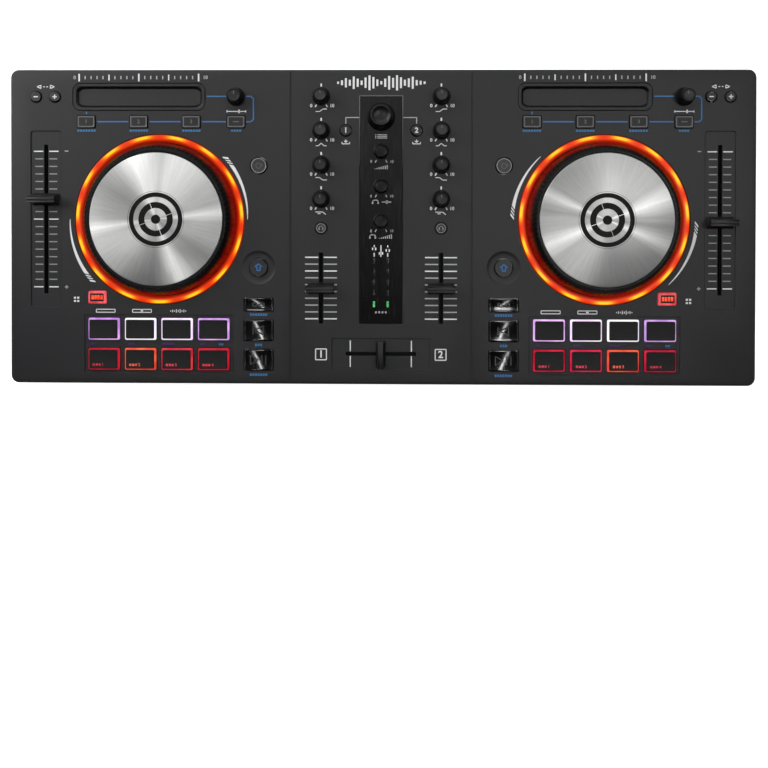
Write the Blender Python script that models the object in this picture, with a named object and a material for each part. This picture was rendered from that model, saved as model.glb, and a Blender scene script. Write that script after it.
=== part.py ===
"""A two-deck DJ controller, modelled as the separate pieces that it comes apart into.

Metres, +Z up. The origin is on the surface the controller stands on, under the middle of its
housing. +Y is the rear edge and +X the right-hand deck.
"""
import math

import bmesh
import bpy

# Fits between pieces
CLEARANCE = 0.0003  # between pieces that seat on each other
KEY_CLEARANCE = 0.0004  # round a key in its opening
OVERRUN = 0.002  # how far a cutter runs past the wall that it cuts
WELD = 0.0004  # how far a boss or a soldered part sinks into what carries it
MERGE = 0.000001  # points closer than this are one point

# Heights of the housing
FOOT_STANDOFF = 0.003
TRAY_HEIGHT = 0.0172
TRAY_FLOOR = 0.0025
TRAY_WALL = 0.0022
LEDGE_THICKNESS = 0.0015
LEDGE_INSET = 0.0006
SLAB_HEIGHT = 0.0115
PANEL_WALL = 0.0025
EDGE_ROUND = 0.0022
HOUSING_CORNER = 0.006

# How far the tray's walls stand in from the outline of the housing
TRAY_SIDE_INSET = 0.011
TRAY_FRONT_INSET = 0.008
TRAY_REAR_INSET = 0.012
TRAY_DRAFT = 0.007
TRAY_CHAMFER = 0.002
TRAY_CORNER = 0.010

# Main board and what is soldered on it
BOARD_THICKNESS = 0.0016
BOARD_LIFT = 0.0007
BOARD_MARGIN = 0.0015
SWITCH_SIZE = 0.006
SWITCH_HEIGHT = 0.0025
POT_RADIUS = 0.0048
POT_HEADROOM = 0.0012
SHAFT_RADIUS = 0.003
SHAFT_RISE = 0.0085
SHAFT_HOLE_GAP = 0.0006
FADER_BODY_DEPTH = 0.0095
FADER_BODY_HEIGHT = 0.0042
FADER_END_WALL = 0.004
FADER_CHANNEL_FLOOR = 0.001

# Bosses that hold the board between the two shells
BOSS_RADIUS = 0.003
BOSS_SEAM_OFFSET = 0.005
BOSS_REAR_MARGIN = 0.0195
BOSS_FRONT_MARGIN = 0.0155
BOSS_RECESS_OFFSET = 0.0035
BOSS_RECESS_RISE = 0.0085
BOSS_PAD_DROP = 0.0355

# Mixer section, counted outwards from the middle
STRIP_PLATE_WIDTH = 0.0312
STRIP_PLATE_THICKNESS = 0.001
STRIP_PLATE_FRONT_GAP = 0.0112
LOAD_RADIUS = 0.0042
LOAD_GAP = 0.0063
EQ_COLUMN_OFFSET = 0.0182
EQ_REAR_MARGIN = 0.0199
EQ_PITCH = 0.02525
EQ_COUNT = 4
SEAM_OFFSET = 0.0226
SEAM_WIDTH = 0.0008
SEAM_DEPTH = 0.0006
PHONES_RADIUS = 0.0043
PHONES_DROP = 0.0215
BROWSE_DROP = 0.0151
GAIN_DROP = 0.0254
GAIN_PITCH = 0.0256
GAIN_COUNT = 3

# Transport keys, counted from the front edge
TRANSPORT_OFFSET = 0.0236
TRANSPORT_WIDTH = 0.0214
TRANSPORT_DEPTH = 0.0152
TRANSPORT_FRONT_MARGIN = 0.0105
TRANSPORT_GAP = 0.0067
SYNC_DEPTH = 0.0095
SHIFT_RECESS_RADIUS = 0.0125
SHIFT_RECESS_DEPTH = 0.0008
SHIFT_RECESS_SLOPE = 0.003
SHIFT_GAP = 0.01025
SHIFT_RADIUS = 0.00675
WHEEL_KEY_RADIUS = 0.0061
WHEEL_KEY_RISE = 0.0398

# Jog wheel and its light ring
RING_RADIUS = 0.0628
RING_WIDTH = 0.0055
RING_CROWN = 0.0009
RING_PROUD = 0.0004
WHEEL_GAP = 0.0008
WELL_WALL = 0.0014
WELL_FLOOR = 0.002
WELL_OVER_BOARD = 0.0015
WHEEL_RISE = 0.0125
WHEEL_SKIRT_RISE = 0.0012
WHEEL_TAPER = 0.0043
WHEEL_RIM_ROUND = 0.0012
WHEEL_RIM_WIDTH = 0.0018
WHEEL_WALL = 0.0026
WHEEL_ROOF = 0.0022
HUB_RADIUS = 0.010
POST_RADIUS = 0.0047
POST_RISE = 0.0078
PLATE_THICKNESS = 0.0009
PLATE_BEVEL = 0.0003

# Pads and pad mode key
PAD_WIDTH = 0.0234
PAD_DEPTH = 0.0163
PAD_COLUMN_GAP = 0.00377
PAD_ROW_GAP = 0.006
PAD_BORDER_X = 0.0028
PAD_BORDER_Y = 0.002
PAD_SIDE_GAP = 0.0075  # least gap from the transport keys to the pads
PAD_SHIFT = 0.000655
PAD_FRONT_MARGIN = 0.0082
PAD_REAR_GAP = 0.0084
PAD_RECESS_SINK = 0.0008
PAD_COLUMNS = 4
PAD_ROWS = 2
PAD_SLOPE = 0.0016  # how far a pad's sides lean in
PAD_EDGE_RISE = 0.0002
PAD_RISE = 0.0026
PAD_CORNER = 0.0012
PAD_MODE_GAP = 0.0088
PAD_MODE_OUTBOARD_SHARE = 0.741

# Effect keys, touch strip and parameter knob
EFFECT_KEY_WIDTH = 0.0131
EFFECT_KEY_DEPTH = 0.0089
EFFECT_KEY_GAP = 0.0259
EFFECT_REAR_OF_RING = 0.00495
EFFECT_SHIFT = 0.0007
EFFECT_OVERHANG = 0.0014  # how far the row may stand out past the light ring at each end
TOUCH_LENGTH = 0.0987
TOUCH_DEPTH = 0.0206
TOUCH_CORNER = 0.006
TOUCH_FRONT_GAP = 0.00365
TOUCH_REAR_MARGIN = 0.010
TOUCH_RIM = 0.0022
TOUCH_SLOPE = 0.0015
TOUCH_SINK = 0.0026
TOUCH_FLOOR = 0.0012
PARAMETER_GAP = 0.0161
PARAMETER_RADIUS = 0.00675

# Pitch fader and pitch bend buttons
PITCH_GAP = 0.0109
PITCH_RECESS_WIDTH = 0.0224
PITCH_RECESS_LENGTH = 0.1307
PITCH_RECESS_SINK = 0.001
PITCH_RECESS_CORNER = 0.002
PITCH_SLOT_LENGTH = 0.1106
BEND_SPACING = 0.0141
BEND_RADIUS = 0.004
END_MARGIN = 0.0154
LEFT_PITCH_OFFSET = 0.0147
RIGHT_PITCH_OFFSET = -0.0017

# Line faders and crossfader
SLOT_WIDTH = 0.003
LINE_SLOT_LENGTH = 0.0523
LINE_GAP = 0.0111
LINE_REAR_GAP = 0.008  # least gap from a line fader slot to the phones button behind it
CROSS_FRONT_MARGIN = 0.0115
CROSS_RECESS_LENGTH = 0.0723
CROSS_RECESS_DEPTH = 0.0226
CROSS_RECESS_SINK = 0.0008
CROSS_SLOT_LENGTH = 0.0519

# Fader caps
CAP_LIFT = 0.0006
LEVER_THICKNESS = 0.0012
LEVER_WIDTH = 0.004
CAP_LENGTH_SHARES = (0.96, 0.64, 0.82)  # foot, waist and neck, as shares of the finger bar
CAP_DEPTH_SHARES = (1.0, 0.5, 0.62)  # foot, waist and finger bar, as shares of the foot
CAP_WAIST_SHARE = 0.42
CAP_NECK_SHARE = 0.70
CAP_RIDGE_DEPTH = 0.0008
PITCH_CAP_LENGTH = 0.0205
PITCH_CAP_DEPTH = 0.0088
PITCH_CAP_RISE = 0.0125
LINE_CAP_LENGTH = 0.0205
LINE_CAP_DEPTH = 0.0084
LINE_CAP_RISE = 0.0118
CROSS_CAP_LENGTH = 0.0205
CROSS_CAP_DEPTH = 0.0070
CROSS_CAP_RISE = 0.0110

# Knobs
KNOB_LIFT = 0.0006
KNOB_SKIRT = 0.0016
EQ_KNOB_RADIUS = 0.0066
EQ_KNOB_TOP_RADIUS = 0.0049
EQ_KNOB_RISE = 0.0118
GAIN_KNOB_RADIUS = 0.0057
GAIN_KNOB_TOP_RADIUS = 0.0047
GAIN_KNOB_RISE = 0.0105
PARAMETER_KNOB_RISE = 0.0118
PARAMETER_TOP_RADIUS = 0.0052
BROWSE_RADIUS = 0.01035
BROWSE_TOP_RADIUS = 0.0072
BROWSE_RISE = 0.0124

# Keys and mats
KEY_FLANGE = 0.001
KEY_OVERHANG = 0.0008
KEY_TRAVEL = 0.0008
KEY_RISE = 0.0011
KEY_CORNER = 0.0009
PLUNGER_RADIUS = 0.0016
MAT_SHEET = 0.0008
MAT_MARGIN = 0.001

# Sockets
SOCKET_BOARD_THICKNESS = 0.0012
REAR_BOARD_LENGTH = 0.050
REAR_BOARD_DEPTH = 0.018
REAR_BOARD_X = 0.038
PHONO_X = 0.0215
PHONO_PITCH = 0.014
PHONO_RADIUS = 0.00415
PHONO_REACH = 0.0082
PHONO_BLOCK_LENGTH = 0.026
PHONO_BLOCK_DEPTH = 0.010
PHONO_BLOCK_HEIGHT = 0.0105
USB_X = 0.0545
USB_WIDTH = 0.012
USB_HEIGHT = 0.0109
USB_LENGTH = 0.016
USB_MOUTH_WIDTH = 0.00845
USB_MOUTH_HEIGHT = 0.0078
USB_MOUTH_DEPTH = 0.010
PHONES_SOCKET_X = -0.150
PHONES_SOCKET_WIDTH = 0.0145
PHONES_SOCKET_HEIGHT = 0.0118
PHONES_SOCKET_LENGTH = 0.028
PHONES_BORE_RADIUS = 0.0033
PHONES_BORE_DEPTH = 0.025
PHONES_COLLAR_RADIUS = 0.0052
SMALL_SOCKET_X = -0.130
SMALL_SOCKET_WIDTH = 0.009
SMALL_SOCKET_HEIGHT = 0.0075
SMALL_SOCKET_LENGTH = 0.014
SMALL_BORE_RADIUS = 0.00185
SMALL_BORE_DEPTH = 0.012
SMALL_COLLAR_RADIUS = 0.0034
FRONT_BOARD_LENGTH = 0.038
FRONT_BOARD_DEPTH = 0.030

# Foot strips
FOOT_LENGTH = 0.420
FOOT_WIDTH = 0.010
FOOT_POCKET = 0.0008
FOOT_FRONT_MARGIN = 0.021
FOOT_REAR_MARGIN = 0.025
FOOT_CORNER = 0.004

# Facets of the round forms
WHEEL_STEPS = 48
RING_STEPS = 40
HUB_STEPS = 16
CAVITY_STEPS = 20
KNOB_STEPS = 16
SHAFT_STEPS = 8
KEY_STEPS = 12
CORNER_STEPS = 3

# Heights worked out from those above
TRAY_TOP = FOOT_STANDOFF + TRAY_HEIGHT
LEDGE_BOTTOM = TRAY_TOP - LEDGE_THICKNESS
SKIRT_BOTTOM = TRAY_TOP + CLEARANCE
PANEL_TOP = SKIRT_BOTTOM + SLAB_HEIGHT
UNDERSIDE = PANEL_TOP - PANEL_WALL
BOARD_BOTTOM = TRAY_TOP + BOARD_LIFT
BOARD_TOP = BOARD_BOTTOM + BOARD_THICKNESS
SWITCH_TOP = BOARD_TOP + SWITCH_HEIGHT
SHAFT_TOP = PANEL_TOP + SHAFT_RISE
WELL_UNDERSIDE = BOARD_TOP + WELL_OVER_BOARD
WELL_TOP = WELL_UNDERSIDE + WELL_FLOOR
WHEEL_TOP = PANEL_TOP + WHEEL_RISE
PLATE_SEAT = WHEEL_TOP - CLEARANCE - PLATE_THICKNESS
FLANGE_TOP = UNDERSIDE - CLEARANCE
SOCKET_FLOOR = FOOT_STANDOFF + TRAY_FLOOR + CLEARANCE
SOCKET_DECK = SOCKET_FLOOR + SOCKET_BOARD_THICKNESS

# Places along X, from the middle outwards
LOAD_X = STRIP_PLATE_WIDTH / 2 + LOAD_GAP + LOAD_RADIUS
EQ_X = LOAD_X + EQ_COLUMN_OFFSET
SEAM_X = EQ_X + SEAM_OFFSET
TRANSPORT_X = SEAM_X + TRANSPORT_OFFSET
PAD_RECESS_WIDTH = PAD_COLUMNS * PAD_WIDTH + (PAD_COLUMNS - 1) * PAD_COLUMN_GAP + 2 * PAD_BORDER_X
EFFECT_GROUP = TOUCH_LENGTH + PARAMETER_GAP + 2 * PARAMETER_RADIUS
DECK_HALF_WIDTH = max(RING_RADIUS, EFFECT_GROUP / 2 - EFFECT_OVERHANG,
                      PAD_RECESS_WIDTH / 2 + PAD_SIDE_GAP - PAD_SHIFT)
JOG_X = TRANSPORT_X + TRANSPORT_WIDTH / 2 + DECK_HALF_WIDTH
PITCH_X = JOG_X + DECK_HALF_WIDTH + PITCH_GAP + PITCH_RECESS_WIDTH / 2
PAD_X = JOG_X + PAD_SHIFT
PAD_MODE_X = JOG_X + PAD_MODE_OUTBOARD_SHARE * RING_RADIUS
BODY_LENGTH = 2 * (PITCH_X + PITCH_RECESS_WIDTH / 2 + END_MARGIN)

# Places along Y, from the front edge to the rear edge
PAD_RECESS_DEPTH = PAD_ROWS * PAD_DEPTH + (PAD_ROWS - 1) * PAD_ROW_GAP + 2 * PAD_BORDER_Y
DECK_DEPTH = PAD_FRONT_MARGIN + PAD_RECESS_DEPTH + PAD_REAR_GAP + 2 * RING_RADIUS
EFFECT_DEPTH = EFFECT_REAR_OF_RING + EFFECT_KEY_DEPTH + TOUCH_FRONT_GAP + TOUCH_DEPTH + TOUCH_REAR_MARGIN
MIXER_DEPTH = (EQ_REAR_MARGIN + (EQ_COUNT - 1) * EQ_PITCH + PHONES_DROP + PHONES_RADIUS + LINE_REAR_GAP
               + LINE_SLOT_LENGTH + LINE_GAP + CROSS_RECESS_DEPTH + CROSS_FRONT_MARGIN)
BODY_DEPTH = max(DECK_DEPTH + EFFECT_DEPTH, MIXER_DEPTH)
FRONT_Y = -BODY_DEPTH / 2
REAR_Y = BODY_DEPTH / 2
PAD_Y = FRONT_Y + PAD_FRONT_MARGIN + PAD_RECESS_DEPTH / 2
JOG_Y = FRONT_Y + DECK_DEPTH - RING_RADIUS
EFFECT_Y = JOG_Y + RING_RADIUS + EFFECT_REAR_OF_RING + EFFECT_KEY_DEPTH / 2
TOUCH_Y = REAR_Y - TOUCH_REAR_MARGIN - TOUCH_DEPTH / 2
PAD_MODE_Y = PAD_Y + PAD_RECESS_DEPTH / 2 + PAD_MODE_GAP + EFFECT_KEY_DEPTH / 2
PLAY_Y = FRONT_Y + TRANSPORT_FRONT_MARGIN + TRANSPORT_DEPTH / 2
CUE_Y = PLAY_Y + TRANSPORT_DEPTH + TRANSPORT_GAP
SYNC_Y = CUE_Y + TRANSPORT_DEPTH / 2 + TRANSPORT_GAP + SYNC_DEPTH / 2
SHIFT_Y = SYNC_Y + SYNC_DEPTH / 2 + SHIFT_GAP + SHIFT_RECESS_RADIUS
WHEEL_KEY_Y = JOG_Y + WHEEL_KEY_RISE
EQ_Y = REAR_Y - EQ_REAR_MARGIN
LOAD_Y = EQ_Y - EQ_PITCH
PHONES_Y = EQ_Y - (EQ_COUNT - 1) * EQ_PITCH - PHONES_DROP
BROWSE_Y = EQ_Y - BROWSE_DROP
GAIN_Y = BROWSE_Y - GAIN_DROP
CROSS_Y = FRONT_Y + CROSS_FRONT_MARGIN + CROSS_RECESS_DEPTH / 2
LINE_Y = CROSS_Y + CROSS_RECESS_DEPTH / 2 + LINE_GAP + LINE_SLOT_LENGTH / 2
STRIP_PLATE_FRONT = CROSS_Y + CROSS_RECESS_DEPTH / 2 + STRIP_PLATE_FRONT_GAP
STRIP_PLATE_LENGTH = EQ_Y - STRIP_PLATE_FRONT
STRIP_PLATE_Y = (EQ_Y + STRIP_PLATE_FRONT) / 2

SIDES = (("left", -1), ("right", 1))


def clear_scene():
    for existing in list(bpy.data.objects):
        bpy.data.objects.remove(existing, do_unlink=True)


def plastic(name, colour, roughness, metallic=0.0):
    """A plain surface material in the colour of the real piece."""
    made = bpy.data.materials.new(name)
    made.use_nodes = True
    shader = made.node_tree.nodes["Principled BSDF"]
    shader.inputs["Base Color"].default_value = (*colour, 1.0)
    shader.inputs["Roughness"].default_value = roughness
    shader.inputs["Metallic"].default_value = metallic
    return made


def rounded_outline(length, depth, radius, steps=CORNER_STEPS):
    """Rectangle about the origin with round corners, anticlockwise."""
    points = []
    for corner, (side_x, side_y) in enumerate(((1, 1), (-1, 1), (-1, -1), (1, -1))):
        centre_x = side_x * (length / 2 - radius)
        centre_y = side_y * (depth / 2 - radius)
        for step in range(steps + 1):
            angle = (corner + step / steps) * math.pi / 2
            points.append((centre_x + radius * math.cos(angle), centre_y + radius * math.sin(angle)))
    return points


def box_outline(length, depth):
    """Rectangle about the origin, anticlockwise."""
    return [(x * length / 2, y * depth / 2) for x, y in ((1, 1), (-1, 1), (-1, -1), (1, -1))]


def moved(outline, x, y):
    return [(px + x, py + y) for px, py in outline]


def add_stack(mesh, sections):
    """Close a body through outlines of equal counts, each at its own height."""
    rings = [[mesh.verts.new((x, y, z)) for x, y in outline] for outline, z in sections]
    for lower, upper in zip(rings, rings[1:]):
        for i in range(len(lower)):
            j = (i + 1) % len(lower)
            mesh.faces.new((lower[i], lower[j], upper[j], upper[i]))
    mesh.faces.new(rings[0][::-1])
    mesh.faces.new(rings[-1])


def add_prism(mesh, outline, low, high):
    add_stack(mesh, [(outline, low), (outline, high)])


def add_turned(mesh, profile, steps, x=0.0, y=0.0, closed=False):
    """Spin a profile of (radius, height) points about the vertical axis through x, y."""
    points = [mesh.verts.new((x + radius, y, z)) for radius, z in profile]
    edges = [mesh.edges.new(pair) for pair in zip(points, points[1:])]
    if closed:
        edges.append(mesh.edges.new((points[-1], points[0])))
    bmesh.ops.spin(mesh, geom=points + edges, cent=(x, y, 0.0), axis=(0.0, 0.0, 1.0),
                   angle=2 * math.pi, steps=steps, use_merge=True)
    bmesh.ops.remove_doubles(mesh, verts=mesh.verts, dist=MERGE)


def finished_mesh(name, mesh):
    bmesh.ops.recalc_face_normals(mesh, faces=mesh.faces)
    data = bpy.data.meshes.new(name)
    mesh.to_mesh(data)
    mesh.free()
    return data


def piece(name, mesh, material, x=0.0, y=0.0, smooth_angle=math.radians(35)):
    """Put a finished body into the scene, its origin at x, y."""
    data = finished_mesh(name, mesh)
    data.materials.append(material)
    data.shade_smooth()
    data.set_sharp_from_angle(angle=smooth_angle)
    made = bpy.data.objects.new(name, data)
    made.location = (x, y, 0.0)
    bpy.context.collection.objects.link(made)
    return made


def combine(target, mesh, operation, label):
    """Cut a helper body out of the target, or join it on."""
    helper = bpy.data.objects.new(target.name + "_" + label, finished_mesh(label, mesh))
    helper.hide_render = True
    helper.display_type = "WIRE"
    helper.location = target.location
    helper.rotation_euler = target.rotation_euler
    bpy.context.collection.objects.link(helper)
    boolean = target.modifiers.new(label, "BOOLEAN")
    boolean.object = helper
    boolean.operation = operation
    boolean.solver = "EXACT"


def eq_rows():
    return [EQ_Y - row * EQ_PITCH for row in range(EQ_COUNT)]


def gain_rows():
    return [GAIN_Y - row * GAIN_PITCH for row in range(GAIN_COUNT)]


def touch_x(side):
    """Middle of a deck's touch strip: both decks have it left of the parameter knob."""
    return side * (JOG_X + EFFECT_SHIFT) - EFFECT_GROUP / 2 + TOUCH_LENGTH / 2


def parameter_x(side):
    return side * (JOG_X + EFFECT_SHIFT) + EFFECT_GROUP / 2 - PARAMETER_RADIUS


def effect_key_places(side):
    """Three keys in step under the touch strip and the fourth under the parameter knob."""
    step = EFFECT_KEY_WIDTH + EFFECT_KEY_GAP
    return [touch_x(side) + place * step for place in (-1, 0, 1)] + [parameter_x(side)]


def pad_places(side):
    """Centre of each pad of one deck."""
    step_x = PAD_WIDTH + PAD_COLUMN_GAP
    step_y = PAD_DEPTH + PAD_ROW_GAP
    columns = [side * PAD_X + (column - (PAD_COLUMNS - 1) / 2) * step_x for column in range(PAD_COLUMNS)]
    rows = [PAD_Y + (row - (PAD_ROWS - 1) / 2) * step_y for row in range(PAD_ROWS)]
    return [(x, y) for y in rows for x in columns]


def round_keys():
    """Every round key: name, place and radius."""
    keys = []
    for name, side in SIDES:
        for label, step in (("minus", -0.5), ("plus", 0.5)):
            x = side * PITCH_X + step * BEND_SPACING
            keys.append((f"{name}_pitch_{label}_button", x, TOUCH_Y, BEND_RADIUS))
        keys.append((f"{name}_wheel_button", side * TRANSPORT_X, WHEEL_KEY_Y, WHEEL_KEY_RADIUS))
        keys.append((f"{name}_shift_button", side * TRANSPORT_X, SHIFT_Y, SHIFT_RADIUS))
        keys.append((f"{name}_phones_button", side * EQ_X, PHONES_Y, PHONES_RADIUS))
        keys.append((f"{name}_load_button", side * LOAD_X, LOAD_Y, LOAD_RADIUS))
    return keys


def square_keys():
    """Every single rectangular key: name, place and size."""
    keys = []
    for name, side in SIDES:
        keys.append((f"{name}_sync_key", side * TRANSPORT_X, SYNC_Y, TRANSPORT_WIDTH, SYNC_DEPTH))
        keys.append((f"{name}_cue_key", side * TRANSPORT_X, CUE_Y, TRANSPORT_WIDTH, TRANSPORT_DEPTH))
        keys.append((f"{name}_play_key", side * TRANSPORT_X, PLAY_Y, TRANSPORT_WIDTH, TRANSPORT_DEPTH))
        keys.append((f"{name}_pad_mode_key", side * PAD_MODE_X, PAD_MODE_Y,
                     EFFECT_KEY_WIDTH, EFFECT_KEY_DEPTH))
    return keys


def knobs():
    """Every knob: name, place, foot radius, top radius and height over the panel."""
    eq = (EQ_KNOB_RADIUS, EQ_KNOB_TOP_RADIUS, EQ_KNOB_RISE)
    gain = (GAIN_KNOB_RADIUS, GAIN_KNOB_TOP_RADIUS, GAIN_KNOB_RISE)
    parameter = (PARAMETER_RADIUS, PARAMETER_TOP_RADIUS, PARAMETER_KNOB_RISE)
    places = [("browse_knob", 0.0, BROWSE_Y, (BROWSE_RADIUS, BROWSE_TOP_RADIUS, BROWSE_RISE))]
    for name, y in zip(("master_gain_knob", "cue_mix_knob", "cue_gain_knob"), gain_rows()):
        places.append((name, 0.0, y, gain))
    for deck, side in SIDES:
        for name, y in zip(("treble", "mid", "bass", "filter"), eq_rows()):
            places.append((f"{deck}_{name}_knob", side * EQ_X, y, eq))
        places.append((f"{deck}_parameter_knob", parameter_x(side), TOUCH_Y, parameter))
    return places


def slots():
    """Every fader slot: place, length along X and length along Y."""
    found = [(0.0, CROSS_Y, CROSS_SLOT_LENGTH, SLOT_WIDTH)]
    for _, side in SIDES:
        found.append((side * PITCH_X, JOG_Y, SLOT_WIDTH, PITCH_SLOT_LENGTH))
        found.append((side * EQ_X, LINE_Y, SLOT_WIDTH, LINE_SLOT_LENGTH))
    return found


def boss_places():
    """Where the screw bosses of both shells meet the board."""
    places = []
    for _, side in SIDES:
        seam = side * (SEAM_X + BOSS_SEAM_OFFSET)
        places.append((seam, REAR_Y - BOSS_REAR_MARGIN))
        places.append((seam, JOG_Y))
        places.append((seam, FRONT_Y + BOSS_FRONT_MARGIN))
        recess_edge = PITCH_X - PITCH_RECESS_WIDTH / 2 - BOSS_RECESS_OFFSET
        places.append((side * recess_edge, JOG_Y + PITCH_RECESS_LENGTH / 2 + BOSS_RECESS_RISE))
        places.append((side * PITCH_X, JOG_Y - PITCH_RECESS_LENGTH / 2 - BOSS_PAD_DROP))
    return places


def housing_outline(inset, radius=HOUSING_CORNER):
    return rounded_outline(BODY_LENGTH - 2 * inset, BODY_DEPTH - 2 * inset, radius)


def make_top_panel(material):
    """Upper shell: skirt and face, jog wells with their posts, recesses, openings and bosses."""
    mesh = bmesh.new()
    crown = EDGE_ROUND * (1 - math.sqrt(0.5))
    inner_corner = HOUSING_CORNER - PANEL_WALL
    add_stack(mesh, [
        (housing_outline(PANEL_WALL, inner_corner), UNDERSIDE),
        (housing_outline(PANEL_WALL, inner_corner), SKIRT_BOTTOM),
        (housing_outline(0.0), SKIRT_BOTTOM),
        (housing_outline(0.0), PANEL_TOP - EDGE_ROUND),
        (housing_outline(crown), PANEL_TOP - crown),
        (housing_outline(EDGE_ROUND), PANEL_TOP),
    ])
    panel = piece("top_panel", mesh, material)

    joined = bmesh.new()
    well_radius = RING_RADIUS + CLEARANCE
    for _, side in SIDES:
        cup = [(0.0, WELL_UNDERSIDE), (well_radius + WELL_WALL, WELL_UNDERSIDE),
               (well_radius + WELL_WALL, UNDERSIDE + WELD), (0.0, UNDERSIDE + WELD)]
        add_turned(joined, cup, RING_STEPS, side * JOG_X, JOG_Y)
    for x, y in boss_places():
        boss = [(0.0, BOARD_TOP + CLEARANCE), (BOSS_RADIUS, BOARD_TOP + CLEARANCE),
                (BOSS_RADIUS, UNDERSIDE + WELD), (0.0, UNDERSIDE + WELD)]
        add_turned(joined, boss, SHAFT_STEPS, x, y)
    combine(panel, joined, "UNION", "wells_and_bosses")

    recesses = bmesh.new()
    over = PANEL_TOP + OVERRUN
    for _, side in SIDES:
        well = [(0.0, WELL_TOP), (well_radius, WELL_TOP), (well_radius, over), (0.0, over)]
        add_turned(recesses, well, RING_STEPS, side * JOG_X, JOG_Y)
        groove = moved(box_outline(SEAM_WIDTH, BODY_DEPTH + 2 * OVERRUN), side * SEAM_X, 0.0)
        add_prism(recesses, groove, PANEL_TOP - SEAM_DEPTH, over)
        pitch = rounded_outline(PITCH_RECESS_WIDTH, PITCH_RECESS_LENGTH, PITCH_RECESS_CORNER, 1)
        add_prism(recesses, moved(pitch, side * PITCH_X, JOG_Y), PANEL_TOP - PITCH_RECESS_SINK, over)
        pads = box_outline(PAD_RECESS_WIDTH, PAD_RECESS_DEPTH)
        add_prism(recesses, moved(pads, side * PAD_X, PAD_Y), PANEL_TOP - PAD_RECESS_SINK, over)
        dish_floor = PANEL_TOP - SHIFT_RECESS_DEPTH
        dish = [(0.0, dish_floor), (SHIFT_RECESS_RADIUS - SHIFT_RECESS_SLOPE, dish_floor),
                (SHIFT_RECESS_RADIUS, PANEL_TOP), (SHIFT_RECESS_RADIUS, over), (0.0, over)]
        add_turned(recesses, dish, CAVITY_STEPS, side * TRANSPORT_X, SHIFT_Y)
    cross = box_outline(CROSS_RECESS_LENGTH, CROSS_RECESS_DEPTH)
    add_prism(recesses, moved(cross, 0.0, CROSS_Y), PANEL_TOP - CROSS_RECESS_SINK, over)
    strip = box_outline(STRIP_PLATE_WIDTH + 2 * CLEARANCE, STRIP_PLATE_LENGTH + 2 * CLEARANCE)
    strip_floor = PANEL_TOP - STRIP_PLATE_THICKNESS - CLEARANCE
    add_prism(recesses, moved(strip, 0.0, STRIP_PLATE_Y), strip_floor, over)
    combine(panel, recesses, "DIFFERENCE", "recesses")

    openings = bmesh.new()
    under = UNDERSIDE - OVERRUN
    for name, x, y, shape in knobs():
        radius = SHAFT_RADIUS + SHAFT_HOLE_GAP
        hole = [(0.0, under), (radius, under), (radius, over), (0.0, over)]
        add_turned(openings, hole, SHAFT_STEPS, x, y)
    for name, x, y, key_radius in round_keys():
        radius = key_radius + KEY_CLEARANCE
        hole = [(0.0, under), (radius, under), (radius, over), (0.0, over)]
        add_turned(openings, hole, KEY_STEPS, x, y)
    for name, x, y, length, depth in square_keys():
        add_prism(openings, moved(key_opening(length, depth, KEY_CORNER), x, y), under, over)
    for x, y, length, depth in slots():
        add_prism(openings, moved(box_outline(length, depth), x, y), under, over)
    for _, side in SIDES:
        for x in effect_key_places(side):
            outline = key_opening(EFFECT_KEY_WIDTH, EFFECT_KEY_DEPTH, KEY_CORNER)
            add_prism(openings, moved(outline, x, EFFECT_Y), under, over)
        for x, y in pad_places(side):
            add_prism(openings, moved(key_opening(PAD_WIDTH, PAD_DEPTH, PAD_CORNER), x, y), under, over)
        touch = rounded_outline(TOUCH_LENGTH, TOUCH_DEPTH, TOUCH_CORNER)
        add_prism(openings, moved(touch, touch_x(side), TOUCH_Y), under, over)
    combine(panel, openings, "DIFFERENCE", "openings")

    posts = bmesh.new()
    for _, side in SIDES:
        post = [(0.0, WELL_TOP - WELD), (POST_RADIUS, WELL_TOP - WELD),
                (POST_RADIUS, PANEL_TOP + POST_RISE), (0.0, PANEL_TOP + POST_RISE)]
        add_turned(posts, post, HUB_STEPS, side * JOG_X, JOG_Y)
    combine(panel, posts, "UNION", "posts")


def key_opening(length, depth, corner):
    """Opening for a rectangular key, wider than the key by its clearance all round."""
    return rounded_outline(length + 2 * KEY_CLEARANCE, depth + 2 * KEY_CLEARANCE, corner + KEY_CLEARANCE, 1)


def tray_outline(extra, radius):
    """Outline of the tray's walls, which stand in by other amounts at the sides, front and rear."""
    length = BODY_LENGTH - 2 * (TRAY_SIDE_INSET + extra)
    depth = BODY_DEPTH - TRAY_FRONT_INSET - TRAY_REAR_INSET - 2 * extra
    return moved(rounded_outline(length, depth, radius), 0.0, (TRAY_FRONT_INSET - TRAY_REAR_INSET) / 2)


def drafted_outline(radius):
    """The tray's outline at its floor, drawn in at the two ends."""
    length = BODY_LENGTH - 2 * (TRAY_SIDE_INSET + TRAY_DRAFT)
    depth = BODY_DEPTH - TRAY_FRONT_INSET - TRAY_REAR_INSET
    return moved(rounded_outline(length, depth, radius), 0.0, (TRAY_FRONT_INSET - TRAY_REAR_INSET) / 2)


def tray_front_y():
    return FRONT_Y + TRAY_FRONT_INSET


def tray_rear_y():
    return REAR_Y - TRAY_REAR_INSET


def add_lying_cylinder(mesh, radius, x, z, y_from, y_to, steps):
    """Round bar along Y."""
    circle = [(radius * math.cos(2 * math.pi * i / steps), radius * math.sin(2 * math.pi * i / steps))
              for i in range(steps)]
    rings = [[mesh.verts.new((x + px, y, z + pz)) for px, pz in circle] for y in (y_from, y_to)]
    for i in range(steps):
        j = (i + 1) % steps
        mesh.faces.new((rings[0][i], rings[0][j], rings[1][j], rings[1][i]))
    mesh.faces.new(rings[0][::-1])
    mesh.faces.new(rings[1])


def phones_axis_z():
    return SOCKET_DECK + PHONES_SOCKET_HEIGHT / 2


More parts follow.
